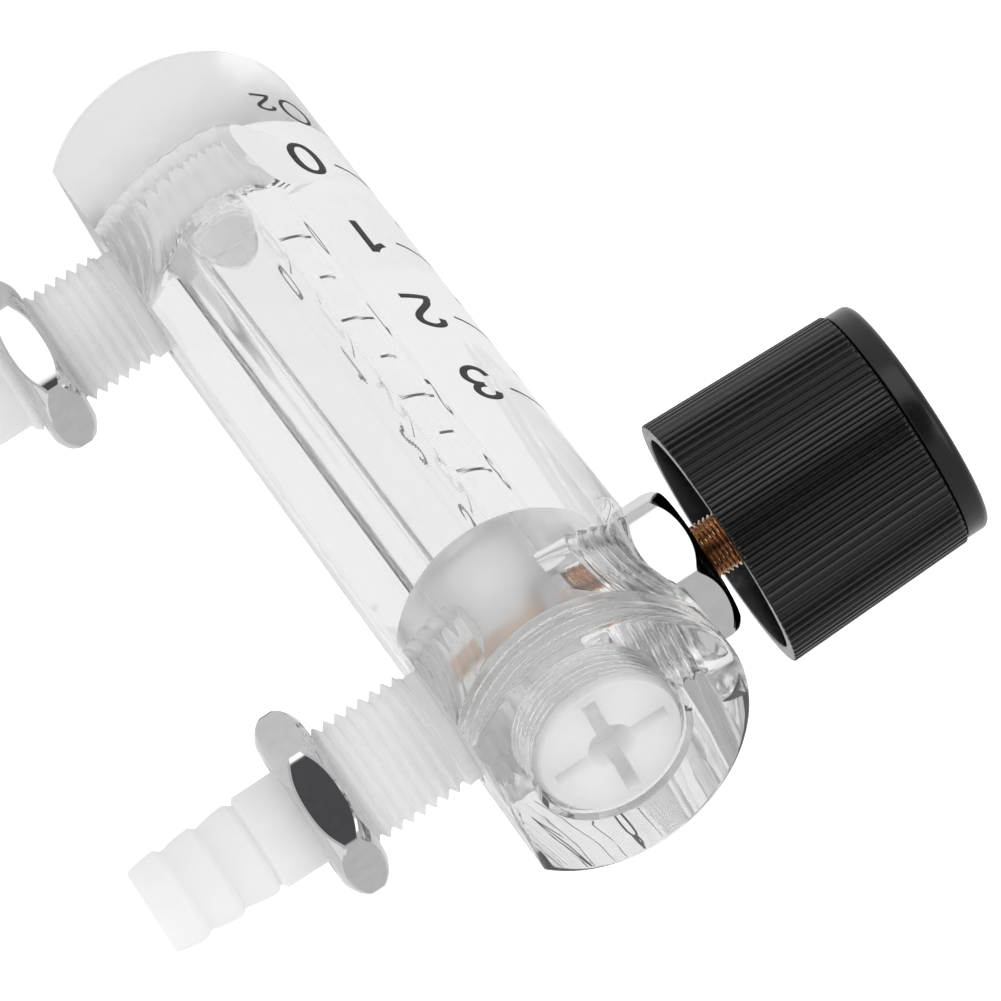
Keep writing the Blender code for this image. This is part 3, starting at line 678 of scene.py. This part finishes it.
def numeral(digit):
    """A numeral's strokes in a box 1 high, centred on 0; x runs to the right."""
    if digit == 0:
        return [oval(0.41, 0.87)]
    if digit == 1:
        return [
            straight((0.063, -0.5), (0.063, 0.47), 14),
            smooth_path([(0.063, 0.45), (-0.02, 0.33), (-0.1, 0.26), (-0.19, 0.215)]),
        ]
    if digit == 2:
        bend = [(-0.205, 0.205), (-0.17, 0.355), (-0.05, 0.435), (0.07, 0.43)]
        bend += [(0.185, 0.34), (0.2, 0.2), (0.13, 0.065), (-0.02, -0.1)]
        bend += [(-0.14, -0.25), (-0.205, -0.43)]
        return [smooth_path(bend), straight((-0.27, -0.437), (0.265, -0.437), 10)]
    upper = [(-0.195, 0.24), (-0.14, 0.38), (-0.01, 0.437), (0.12, 0.39)]
    upper += [(0.175, 0.25), (0.115, 0.115), (-0.035, 0.058)]
    lower = [(-0.035, 0.058), (0.12, 0.02), (0.205, -0.1), (0.205, -0.23)]
    lower += [(0.13, -0.375), (-0.01, -0.437), (-0.14, -0.385), (-0.21, -0.235)]
    return [smooth_path(upper), smooth_path(lower)]


def stroke_ribbon(work, path, width, onto):
    """Adds a flat stroke of even width along a path; onto places a flat point on the block."""
    sides = []
    for i, point in enumerate(path):
        before, after = path[max(i - 1, 0)], path[min(i + 1, len(path) - 1)]
        if (path[0] - path[-1]).length < 1e-6 and i in (0, len(path) - 1):
            before, after = path[-2], path[1]
        along = (after - before).normalized()
        across = Vector((-along.y, along.x)) * width / 2
        sides.append([work.verts.new(onto(point + across * s)) for s in (-1, -0.33, 0.33, 1)])
    for a, b in zip(sides, sides[1:]):
        for j in range(3):
            work.faces.new([a[j], a[j + 1], b[j + 1], b[j]])


def on_block(azimuth, height, radius):
    """Places flat (x, y) points on the block's side round a point there, +y up."""

    def place_point(point):
        angle = azimuth + point.x / BLOCK_RADIUS
        return Vector(
            (radius * math.cos(angle), radius * math.sin(angle), height + point.y)
        )

    return place_point


FRONT = math.radians(-90)
MAJOR_HALF = math.radians(32)  # half the angle that a numbered mark covers
MINOR_HALF = math.radians(14)
NUMERAL_ANGLE = math.radians(45.5)  # numerals' middle from the front


class FLOWMETER_OT_scale(bpy.types.Operator):
    """Prints the scale's marks, its numerals on both sides and the gas mark"""

    bl_idname = "flowmeter.scale"
    bl_label = "Printed Scale"

    def execute(self, context):
        sizes = settings("scale")
        radius = BLOCK_RADIUS - sizes.film / 8
        work = bmesh.new()
        heights = [sizes.zero, sizes.one, sizes.two, sizes.three]
        for height in heights:
            self.mark(work, height, MAJOR_HALF, radius)
        for low, high in zip(heights, heights[1:]):
            self.mark(work, (low + high) / 2, MINOR_HALF, radius)
        tall = sizes.numeral
        for digit, height in enumerate(heights):
            for angle in (FRONT - NUMERAL_ANGLE, FRONT + NUMERAL_ANGLE):
                for path in numeral(digit):
                    path = [p * tall for p in path]
                    stroke_ribbon(work, path, sizes.stroke, on_block(angle, height, radius))
        self.gas_mark(work, radius)
        printed = worked_object("scale_print", work)
        film = printed.modifiers.new("film", "SOLIDIFY")
        film.thickness = sizes.film
        film.offset = 0
        place(printed, "ink", "housing")
        return {"FINISHED"}

    def mark(self, work, height, half, radius):
        """One mark across the front."""
        reach = half * BLOCK_RADIUS
        path = straight((-reach, 0), (reach, 0), 40)
        onto = on_block(FRONT, height, radius)
        stroke_ribbon(work, path, settings("scale").tick, onto)

    def gas_mark(self, work, radius):
        """The gas's letter and its small figure, on the right of the scale's lower end."""
        wide, tall, stroke = 3.2 * MM, 4.5 * MM, 0.48 * MM
        letter = on_block(math.radians(-59.5), 12.05 * MM, radius)
        stroke_ribbon(work, oval(wide, tall, 2.1), stroke, letter)
        wide, tall, stroke = 4.3 * MM, 3.6 * MM, 0.46 * MM
        figure = on_block(math.radians(-45.2), 11.5 * MM, radius)
        for path in numeral(2):
            path = [Vector((p.x * wide, p.y * tall)) for p in path]
            stroke_ribbon(work, path, stroke, figure)


# Float


class FLOWMETER_OT_float(bpy.types.Operator):
    """Builds the float ball and dresses its seat and stop"""

    bl_idname = "flowmeter.float"
    bl_label = "Float"

    def execute(self, context):
        low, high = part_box("float_ball")
        radius = (high[2] - low[2]) / 2
        work = bmesh.new()
        bmesh.ops.create_icosphere(work, subdivisions=5, radius=radius)
        ball = worked_object("ball", work, SMOOTH)
        ball.location = (0, 0, middle_height("float_ball"))
        place(ball, "ball", "float", ["float_ball"])
        dress("polished", "float_seat", "float_stop")
        return {"FINISHED"}


# Connectors and lock nuts


def barbs(start, end, crest, root):
    """Rows of the hose end: long tapers, each with a rounded step at its back."""
    rows = []
    pitch = (end - start) / BARB_COUNT
    step = 0.8 * MM
    bulge = 1.8  # 1 is a straight taper
    for i in range(BARB_COUNT):
        back = start + pitch * i
        for t in np.linspace(0, 1, 9):
            rise = (1 - math.cos(math.pi * t)) / 2
            rows.append((root + (crest - root) * rise, back + step * t))
        for t in np.linspace(0.1, 1, 9)[:-1]:
            radius = crest - (crest - root) * t**bulge
            rows.append((radius, back + step + (pitch - step) * t))
    rows.append((root - 0.15 * MM, end))
    return rows


class FLOWMETER_OT_connectors(bpy.types.Operator):
    """Builds the two barbed hose connectors with their threads, and dresses their seals"""

    bl_idname = "flowmeter.connectors"
    bl_label = "Hose Connectors"

    def execute(self, context):
        for side, height in (("inlet", INLET_HEIGHT), ("outlet", OUTLET_HEIGHT)):
            self.connector(side, height)
            dress("silicone", side + "_seal")
        return {"FINISHED"}

    def connector(self, side, height):
        """One connector."""
        node = side + "_connector"
        sizes = settings("threads")
        near, tip = distances(node, "back")
        crest, depth, pitch = sizes.pipe_crest, sizes.pipe_depth, sizes.pipe_pitch
        core = crest - depth
        collar = FLAT_DISTANCE - COLLAR_SEAT + 0.3 * MM
        thread_start = FLAT_DISTANCE + COLLAR_LENGTH
        thread_end = thread_start + THREAD_LENGTH
        neck_end = thread_end + NECK_LENGTH
        step = pitch / 8
        rows = [(HOSE_BORE, near), (core, near)]
        rows += span(crest, near + 0.7 * MM, collar - 0.35 * MM, step)
        rows += [(core, collar - 0.3 * MM), (core, collar)]
        rim = COLLAR_RADIUS - 0.3 * MM
        rows += fillet(rim, collar + 0.3 * MM, 0.3 * MM, -90, 0)
        rows += fillet(rim, thread_start - 0.3 * MM, 0.3 * MM, 0, 90)
        rows += [(core + 0.1 * MM, thread_start)]
        rows += span(crest, thread_start + 0.4 * MM, thread_end - 0.7 * MM, step)
        rows += [(core, thread_end), (NECK_RADIUS + 0.1 * MM, thread_end + 0.05 * MM)]
        rows += [(NECK_RADIUS + 0.02 * MM, thread_end + 0.3 * MM)]
        rows += [(NECK_RADIUS, neck_end - 0.4 * MM)]
        rows += barbs(neck_end, tip, BARB_CREST, BARB_ROOT)
        rows += [(rows[-1][0] - 0.25 * MM, tip), (HOSE_BORE + 0.2 * MM, tip)]
        rows += [(HOSE_BORE, tip - 0.2 * MM)]
        thread = (crest, depth, pitch, near, thread_end)
        piece = turned(node + "_moulding", rows, 96, True, thread)
        place(piece, "nylon", "housing", [node], "back", height)


def hexagon_radii(across, corner, angles):
    """Radii of a hexagon whose corners are turned down by corner, at each of the angles."""
    turn = (angles + math.pi / 6) % (math.pi / 3) - math.pi / 6
    flat = across / 2 / np.cos(turn)
    tip = across / math.sqrt(3) - corner
    sharpness = 70
    return (flat**-sharpness + (tip * np.ones_like(flat)) ** -sharpness) ** (-1 / sharpness)


def hex_piece(name, across, ends, slope, inset, hole, turn, corner):
    """A nut about Z, turned down on both faces, one flat's normal at turn degrees from +X."""
    low, high = ends
    turn = math.radians(turn)
    columns = 240
    angles = np.linspace(0, 2 * math.pi, columns, endpoint=False)
    outer = hexagon_radii(across, corner, angles)
    face = across / 2 - inset
    lead = 0.45 * MM
    edge = 0.14 * MM
    steepening = 0.4  # per millimetre past the flats

    def rise(radii):
        """How far below a face the turned surface lies; it steepens past the flats."""
        past = np.maximum(radii - across / 2, 0.0)
        return (radii - face) * slope + past**2 * steepening / MM

    side = [(hole, lead), (hole + lead, 0.0), (face - edge, 0.0), (face, edge * 0.3)]
    for share in (0.25, 0.5, 0.75, 0.9, 1.0):
        radii = face + (outer - edge - face) * share
        side.append((radii, rise(radii)))
    side.append((outer, rise(outer) + edge))
    rows = [(radii, low + drop) for radii, drop in side]
    rows += [(radii, high - drop) for radii, drop in reversed(side)]
    grid = []
    for radii, heights in rows:
        x = radii * np.cos(angles + turn)
        y = radii * np.sin(angles + turn)
        grid.append(np.stack([x, y, heights * np.ones(columns)], -1))
    return ring_mesh(name, np.array(grid), True, SHARP_HEXAGON)


class FLOWMETER_OT_lock_nuts(bpy.types.Operator):
    """Builds the two thin chromed lock nuts"""

    bl_idname = "flowmeter.lock_nuts"
    bl_label = "Lock Nuts"

    def execute(self, context):
        hole = settings("threads").pipe_crest - 0.2 * MM
        for side, height, turn in (
            ("inlet", INLET_HEIGHT, -38),
            ("outlet", OUTLET_HEIGHT, -46),
        ):
            node = side + "_lock_nut"
            nut = hex_piece(
                side + "_nut_plated",
                across=18 * MM,
                ends=distances(node, "back"),
                slope=0.55,
                inset=0.9 * MM,
                hole=hole,
                turn=turn,
                corner=0.15 * MM,
            )
            place(nut, "chrome", side + "_nut", [node], "back", height)
        return {"FINISHED"}


# Top plug


class FLOWMETER_OT_plug(bpy.types.Operator):
    """Builds the white plug with its cross recess, and dresses its seal"""

    bl_idname = "flowmeter.plug"
    bl_label = "Top Plug"

    def execute(self, context):
        sizes = settings("threads")
        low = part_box("top_plug")[0][2]
        high = BLOCK_LENGTH
        crest = settings("block").mouth
        depth, pitch = sizes.plug_depth, sizes.plug_pitch
        step = pitch / 8
        face = 7.45 * MM
        rows = [(crest - depth - 0.3 * MM, low)]
        rows += span(crest, low + 0.2 * MM, high - 1.2 * MM, step)
        rows += [(face, high - 0.9 * MM)]
        rows += fillet(face - 0.25 * MM, high - 0.25 * MM, 0.25 * MM, 0, 90)
        thread = (crest, depth, pitch, low - 1 * MM, high - 1.0 * MM)
        plug = turned("plug_moulding", rows, 96, thread=thread)
        carve(plug, self.recess(high))
        place(plug, "plug", "housing", ["top_plug"])
        dress("silicone", "top_plug_seal")
        return {"FINISHED"}

    def recess(self, high):
        """The cutters of the cross recess and its middle socket."""
        tools = []
        for name, turn in (("cut_slot_a", 0), ("cut_slot_b", 90)):
            work = bmesh.new()
            bmesh.ops.create_cube(work, size=1)
            size = (12.6 * MM, 1.5 * MM, 4.8 * MM)
            bmesh.ops.scale(work, vec=size, verts=work.verts)
            bmesh.ops.rotate(
                work, verts=work.verts, matrix=Matrix.Rotation(math.radians(turn), 3, "Z")
            )
            bmesh.ops.translate(work, vec=(0, 0, high), verts=work.verts)
            tools.append(worked_object(name, work))
        socket = [(2.3 * MM, high - 3.6 * MM), (2.6 * MM, high + 1 * MM)]
        tools.append(cutter("cut_socket", socket, sides=48))
        return tools


# Valve


def seat_on_valve(piece, finish_name, body, node):
    """Seats a piece that stands for a node on the valve's axis."""
    place(piece, finish_name, body, [node], "front", VALVE_HEIGHT)


class FLOWMETER_OT_valve(bpy.types.Operator):
    """Builds the gland and the threaded stem, and dresses the valve's inner pieces"""

    bl_idname = "flowmeter.valve"
    bl_label = "Needle Valve"

    def execute(self, context):
        self.gland()
        self.stem()
        dress("brass", "valve_seat", "packing_washer")
        dress("silicone", "stem_seal", "gland_seal")
        dress("steel", "stop_ring")
        return {"FINISHED"}

    def gland(self):
        """The chromed gland: a chamfered hexagon and, riding with it, its threaded shank."""
        sizes = settings("threads")
        near, front = distances("valve_gland", "front")
        spot = BLOCK_RADIUS - settings("block").spot_depth + 0.3 * MM
        hole = 3.25 * MM
        head = hex_piece(
            "gland_head",
            across=15.6 * MM,
            ends=(spot, front),
            slope=0.8,
            inset=0.5 * MM,
            hole=hole,
            turn=24,
            corner=0.1 * MM,
        )
        seat_on_valve(head, "chrome", "housing", "valve_gland")
        crest, depth, pitch = sizes.gland_crest, sizes.gland_depth, sizes.gland_pitch
        bore = 4.5 * MM
        rows = [(bore, near), (crest - depth, near)]
        rows += span(crest, near + 0.5 * MM, spot - 1.0 * MM, pitch / 8)
        rows += [(crest - depth, spot - 0.8 * MM), (crest - depth, spot + 0.5 * MM)]
        rows += [(hole + 0.1 * MM, spot + 0.5 * MM), (hole + 0.1 * MM, near + 2.6 * MM)]
        rows += [(bore, near + 2.2 * MM)]
        thread = (crest, depth, pitch, near, spot - 0.9 * MM)
        shank = turned("gland_shank", rows, 96, True, thread)
        seat_on_valve(shank, "chrome", "housing", "valve_gland")

    def stem(self):
        """The brass stem with its needle and its fine thread."""
        sizes = settings("threads")
        back, front = distances("valve_stem", "front")
        ring_back, ring_front = distances("stop_ring", "front")
        crest, depth, pitch = 3.0 * MM, sizes.stem_depth, sizes.stem_pitch
        groove = crest - 0.6 * MM
        gap = 0.3 * MM
        low = ring_front + gap
        rows = [(0.45 * MM, back), (0.55 * MM, back + 0.1 * MM)]
        rows += [(2.0 * MM, back + 4.0 * MM), (2.0 * MM, ring_back - gap - 0.8 * MM)]
        rows += [(crest, ring_back - gap - 0.75 * MM), (crest, ring_back - gap)]
        rows += [(groove, ring_back - gap), (groove, low), (crest - 0.1 * MM, low)]
        rows += span(crest, low + 0.1 * MM, front - 0.3 * MM, pitch / 7)
        rows += [(crest - depth, front), (1.55 * MM, front), (1.55 * MM, front - 6 * MM)]
        thread = (crest, depth, pitch, low + 0.2 * MM, front)
        stem = turned("stem_turned", rows, 64, thread=thread)
        seat_on_valve(stem, "brass", "valve", "valve_stem")


# Knob


class FLOWMETER_OT_knob(bpy.types.Operator):
    """Builds the fluted knob and its cap, and dresses the pieces that fix them"""

    bl_idname = "flowmeter.knob"
    bl_label = "Knob"

    def execute(self, context):
        self.body()
        self.cap()
        dress("brass", "knob_insert")
        dress("steel", "knob_washer", "knob_screw")
        return {"FINISHED"}

    def body(self):
        """The fluted skirt, open towards the block, with its hub."""
        sizes = settings("knob")
        rim, front = distances("knob_body", "front")
        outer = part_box("knob_body")[1][0]
        count, deep = sizes.ribs, sizes.rib_depth
        per_rib = 8
        drop = 0.6 * MM
        skirt = outer - deep - sizes.skirt_wall
        web_front = front - 5.0 * MM
        web_back = web_front - 3.0 * MM
        hub, hub_back = 7.0 * MM, rim + 4.4 * MM
        recess = outer - drop - deep - 1.5 * MM
        hole = 4.9 * MM
        flank, land = 5.0, 0.9  # how steep a groove's sides are, and how broad a rib's top is

        def fluted(radii, angles, heights):
            """Cuts the grooves into whatever stands at the ribs' radius."""
            turn = (angles * count / (2 * math.pi)) % 1.0
            from_rib = 0.5 - np.abs(turn - 0.5)
            groove = np.clip(from_rib * flank - land, 0.0, 1.0)
            from_end = np.minimum(heights - rim, front - heights)
            fade = np.clip((from_end + 0.02 * MM) / (0.15 * MM), 0.0, 1.0)
            ribbed = radii > outer - drop - 0.8 * MM
            taper = (heights - rim) / (front - rim) * drop
            return np.where(ribbed, radii - taper - deep * groove * fade, radii)

        edge = 0.3 * MM
        rows = [(hole, hub_back), (hub - edge, hub_back), (hub, hub_back + edge)]
        rows += [(hub, web_back - edge), (hub + edge, web_back)]
        rows += [(skirt - 2 * edge, web_back), (skirt - edge, web_back - 2 * edge)]
        rows += [(skirt, rim + 1.5 * MM), (skirt + 0.15 * MM, rim + 0.1 * MM)]
        rows += [(skirt + 0.3 * MM, rim), (outer - 0.25 * MM, rim)]
        rows += fillet(outer - 0.2 * MM, rim + 0.2 * MM, 0.2 * MM, -80, 0, 4)
        rows += span(outer, rim + 0.5 * MM, front - 0.5 * MM, 2.5 * MM)
        rows += fillet(outer - 0.25 * MM, front - 0.25 * MM, 0.25 * MM, 0, 85, 4)
        rows += [(outer - 0.6 * MM, front), (recess, front), (recess, web_front)]
        rows += [(hole, web_front)]
        knob = turned(
            "knob_moulding", rows, count * per_rib, closed=True, radius=fluted
        )
        seat_on_valve(knob, "plastic", "valve", "knob_body")

    def cap(self):
        """The smooth cap with a soft edge and a slightly dished face."""
        back, front = distances("knob_cap", "front")
        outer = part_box("knob_cap")[1][0]
        knob_front = distances("knob_body", "front")[1] + 0.15 * MM
        spigot = outer - 2.2 * MM
        wall, dish = 1.3 * MM, 0.3 * MM
        pinhole = 0.02 * MM  # radius of the hole that the wrapped rows leave on the axis
        rows = [(spigot - wall, back), (spigot, back), (spigot, knob_front)]
        rows += fillet(outer - 0.2 * MM, knob_front + 0.2 * MM, 0.2 * MM, -90, 0, 4)
        rows += fillet(outer - 0.9 * MM, front - 0.9 * MM, 0.9 * MM, 0, 90, 9)
        rows += [(outer - 2.0 * MM, front - 0.02 * MM), (outer - 2.5 * MM, front - 0.15 * MM)]
        rows += [(1.0 * MM, front - dish), (pinhole, front - dish)]
        rows += [(pinhole, knob_front), (spigot - wall, knob_front)]
        cap = turned("cap_moulding", rows, 144, closed=True)
        seat_on_valve(cap, "plastic", "valve", "knob_cap")


# Stage


CAMERA_PLACE = (0.512254, 0.048635, 0.645078)
CAMERA_TURN = (-35.502503, -24.057039, -113.665619)  # degrees
CAMERA_LENS = 277.1  # mm
CAMERA_SENSOR = 36.0  # mm
FLOOR_DROP = 0.2 * MM  # how far the floor lies below the meter
FLOOR_LIFT = 0.55  # glow of the floor, for the camera's eye only


def grey(value):
    """A grey with full alpha."""
    return (value, value, value, 1)


SEEN_THROUGH = grey(0.92)  # floor and surround, as seen through the clear block


def area_light(name, place_at, target, size, power):
    """A square soft light that points at a place."""
    lamp = bpy.data.lights.new(name, "AREA")
    lamp.shape = "SQUARE"
    lamp.size = size
    lamp.energy = power
    holder = bpy.data.objects.new(name, lamp)
    holder.location = place_at
    aim = Vector(target) - Vector(place_at)
    holder.rotation_euler = aim.to_track_quat("-Z", "Y").to_euler()
    bpy.context.collection.objects.link(holder)


class FLOWMETER_OT_stage(bpy.types.Operator):
    """Sets the floor, the soft light and the camera"""

    bl_idname = "flowmeter.stage"
    bl_label = "Stage"

    def execute(self, context):
        self.floor()
        self.sky()
        self.camera()
        scene = context.scene
        scene.view_settings.view_transform = "Standard"
        scene.cycles.max_bounces = 20
        scene.cycles.transmission_bounces = 20
        scene.cycles.glossy_bounces = 8
        return {"FINISHED"}

    def floor(self):
        """A plain pale floor, white to the camera outside the meter's shadow."""
        work = bmesh.new()
        bmesh.ops.create_grid(work, x_segments=8, y_segments=8, size=3.0)
        floor = worked_object("floor", work)
        floor.location = (0, 0, -FLOOR_DROP)
        nodes = Nodes("finish_floor")
        tint = settings("finish").floor
        nodes.colour_from(nodes.noise(6, 2.0), scaled(tint, 0.995), tint)
        shader = give(nodes.shader, Roughness=0.8, Specular_IOR_Level=0.2)
        give(shader, Emission_Color=grey(1))
        path = nodes.add("ShaderNodeLightPath")
        lift = nodes.add("ShaderNodeMath", operation="MULTIPLY")
        lift.inputs[1].default_value = FLOOR_LIFT
        nodes.join(path.outputs["Is Camera Ray"], lift.inputs[0])
        nodes.join(lift.outputs["Value"], shader.inputs["Emission Strength"])
        white = nodes.add("ShaderNodeEmission", Color=SEEN_THROUGH)
        through = nodes.add("ShaderNodeMixShader")
        nodes.join(path.outputs["Is Transmission Ray"], through.inputs["Fac"])
        nodes.join(shader.outputs["BSDF"], through.inputs[1])
        nodes.join(white.outputs["Emission"], through.inputs[2])
        surface = nodes.tree.nodes["Material Output"].inputs["Surface"]
        nodes.join(through.outputs["Shader"], surface)
        floor.data.materials.append(nodes.material)

    def sky(self):
        """A white surround; metal and gloss also see a dark screen and a bright window in it."""
        world = bpy.data.worlds.new("studio")
        bpy.context.scene.world = world
        world.use_nodes = True
        tree = world.node_tree
        background = tree.nodes["Background"]
        background.inputs["Strength"].default_value = 1.0
        path = tree.nodes.new("ShaderNodeLightPath")
        screen = self.lobe(tree, CAMERA_PLACE, 0.90, 0.955)
        window = self.lobe(tree, (0.99, -0.06, 0.12), 0.80, 0.93)
        dark, plain, bright = (0.1, 0.1, 0.105, 1), grey(0.72), grey(1.8)
        gloss = self.mix(tree, window, plain, bright)
        gloss = self.mix(tree, screen, gloss, dark)
        light = self.mix(tree, path.outputs["Is Glossy Ray"], grey(0.86), gloss)
        light = self.mix(tree, path.outputs["Is Transmission Ray"], light, SEEN_THROUGH)
        light = self.mix(tree, path.outputs["Is Camera Ray"], light, grey(1))
        tree.links.new(light, background.inputs["Color"])
        area_light("key", (0.25, -0.45, 0.75), (0, 0, 0.06), 0.5, 0.9)
        area_light("fill", (-0.3, 0.6, 0.35), (0, 0, 0.03), 0.6, 0.45)

    def lobe(self, tree, towards, start, end):
        """How far a direction is inside a cone, from 0 outside it to 1; sizes are cosines."""
        place_in = tree.nodes.new("ShaderNodeTexCoord")
        match = give(tree.nodes.new("ShaderNodeVectorMath"), operation="DOT_PRODUCT")
        match.inputs[1].default_value = Vector(towards).normalized()
        spread = give(tree.nodes.new("ShaderNodeMapRange"), From_Min=start, From_Max=end)
        tree.links.new(place_in.outputs["Generated"], match.inputs[0])
        tree.links.new(match.outputs["Value"], spread.inputs["Value"])
        return spread.outputs["Result"]

    def mix(self, tree, factor, first, second):
        """A blend of two colours, each a value or a socket."""
        node = tree.nodes.new("ShaderNodeMixRGB")
        tree.links.new(factor, node.inputs["Fac"])
        for entry, value in (("Color1", first), ("Color2", second)):
            if isinstance(value, tuple):
                node.inputs[entry].default_value = value
            else:
                tree.links.new(value, node.inputs[entry])
        return node.outputs["Color"]

    def camera(self):
        """The camera at the photograph's angle."""
        data = bpy.data.cameras.new("camera")
        data.sensor_width = CAMERA_SENSOR
        data.lens = CAMERA_LENS
        data.clip_start, data.clip_end = 0.05, 20  # metres
        camera = bpy.data.objects.new("camera", data)
        camera.location = CAMERA_PLACE
        camera.rotation_euler = [math.radians(a) for a in CAMERA_TURN]
        bpy.context.collection.objects.link(camera)
        bpy.context.scene.camera = camera


STEPS = (
    FLOWMETER_OT_block,
    FLOWMETER_OT_scale,
    FLOWMETER_OT_float,
    FLOWMETER_OT_connectors,
    FLOWMETER_OT_lock_nuts,
    FLOWMETER_OT_plug,
    FLOWMETER_OT_valve,
    FLOWMETER_OT_knob,
    FLOWMETER_OT_stage,
)

SETTINGS = {
    "flowmeter_block": FlowmeterBlockSettings,
    "flowmeter_threads": FlowmeterThreadSettings,
    "flowmeter_scale": FlowmeterScaleSettings,
    "flowmeter_knob": FlowmeterKnobSettings,
    "flowmeter_finish": FlowmeterFinishSettings,
}


class VIEW3D_PT_flowmeter(bpy.types.Panel):
    """Lists the flowmeter's pieces"""

    bl_label = "Flowmeter"
    bl_idname = "VIEW3D_PT_flowmeter"
    bl_space_type = "VIEW_3D"
    bl_region_type = "UI"
    bl_category = "Flowmeter"

    def draw(self, context):
        column = self.layout.column(align=True)
        for step in STEPS:
            column.operator(step.bl_idname)


def register():
    for name, kind in SETTINGS.items():
        bpy.utils.register_class(kind)
        setattr(bpy.types.Scene, name, PointerProperty(type=kind))
    for kind in (*STEPS, VIEW3D_PT_flowmeter):
        bpy.utils.register_class(kind)


def unregister():
    for kind in (VIEW3D_PT_flowmeter, *reversed(STEPS)):
        bpy.utils.unregister_class(kind)
    for name, kind in reversed(SETTINGS.items()):
        delattr(bpy.types.Scene, name)
        bpy.utils.unregister_class(kind)


def main():
    register()
    for step in STEPS:
        family, name = step.bl_idname.split(".")
        getattr(getattr(bpy.ops, family), name)()


if __name__ == "__main__":
    main()
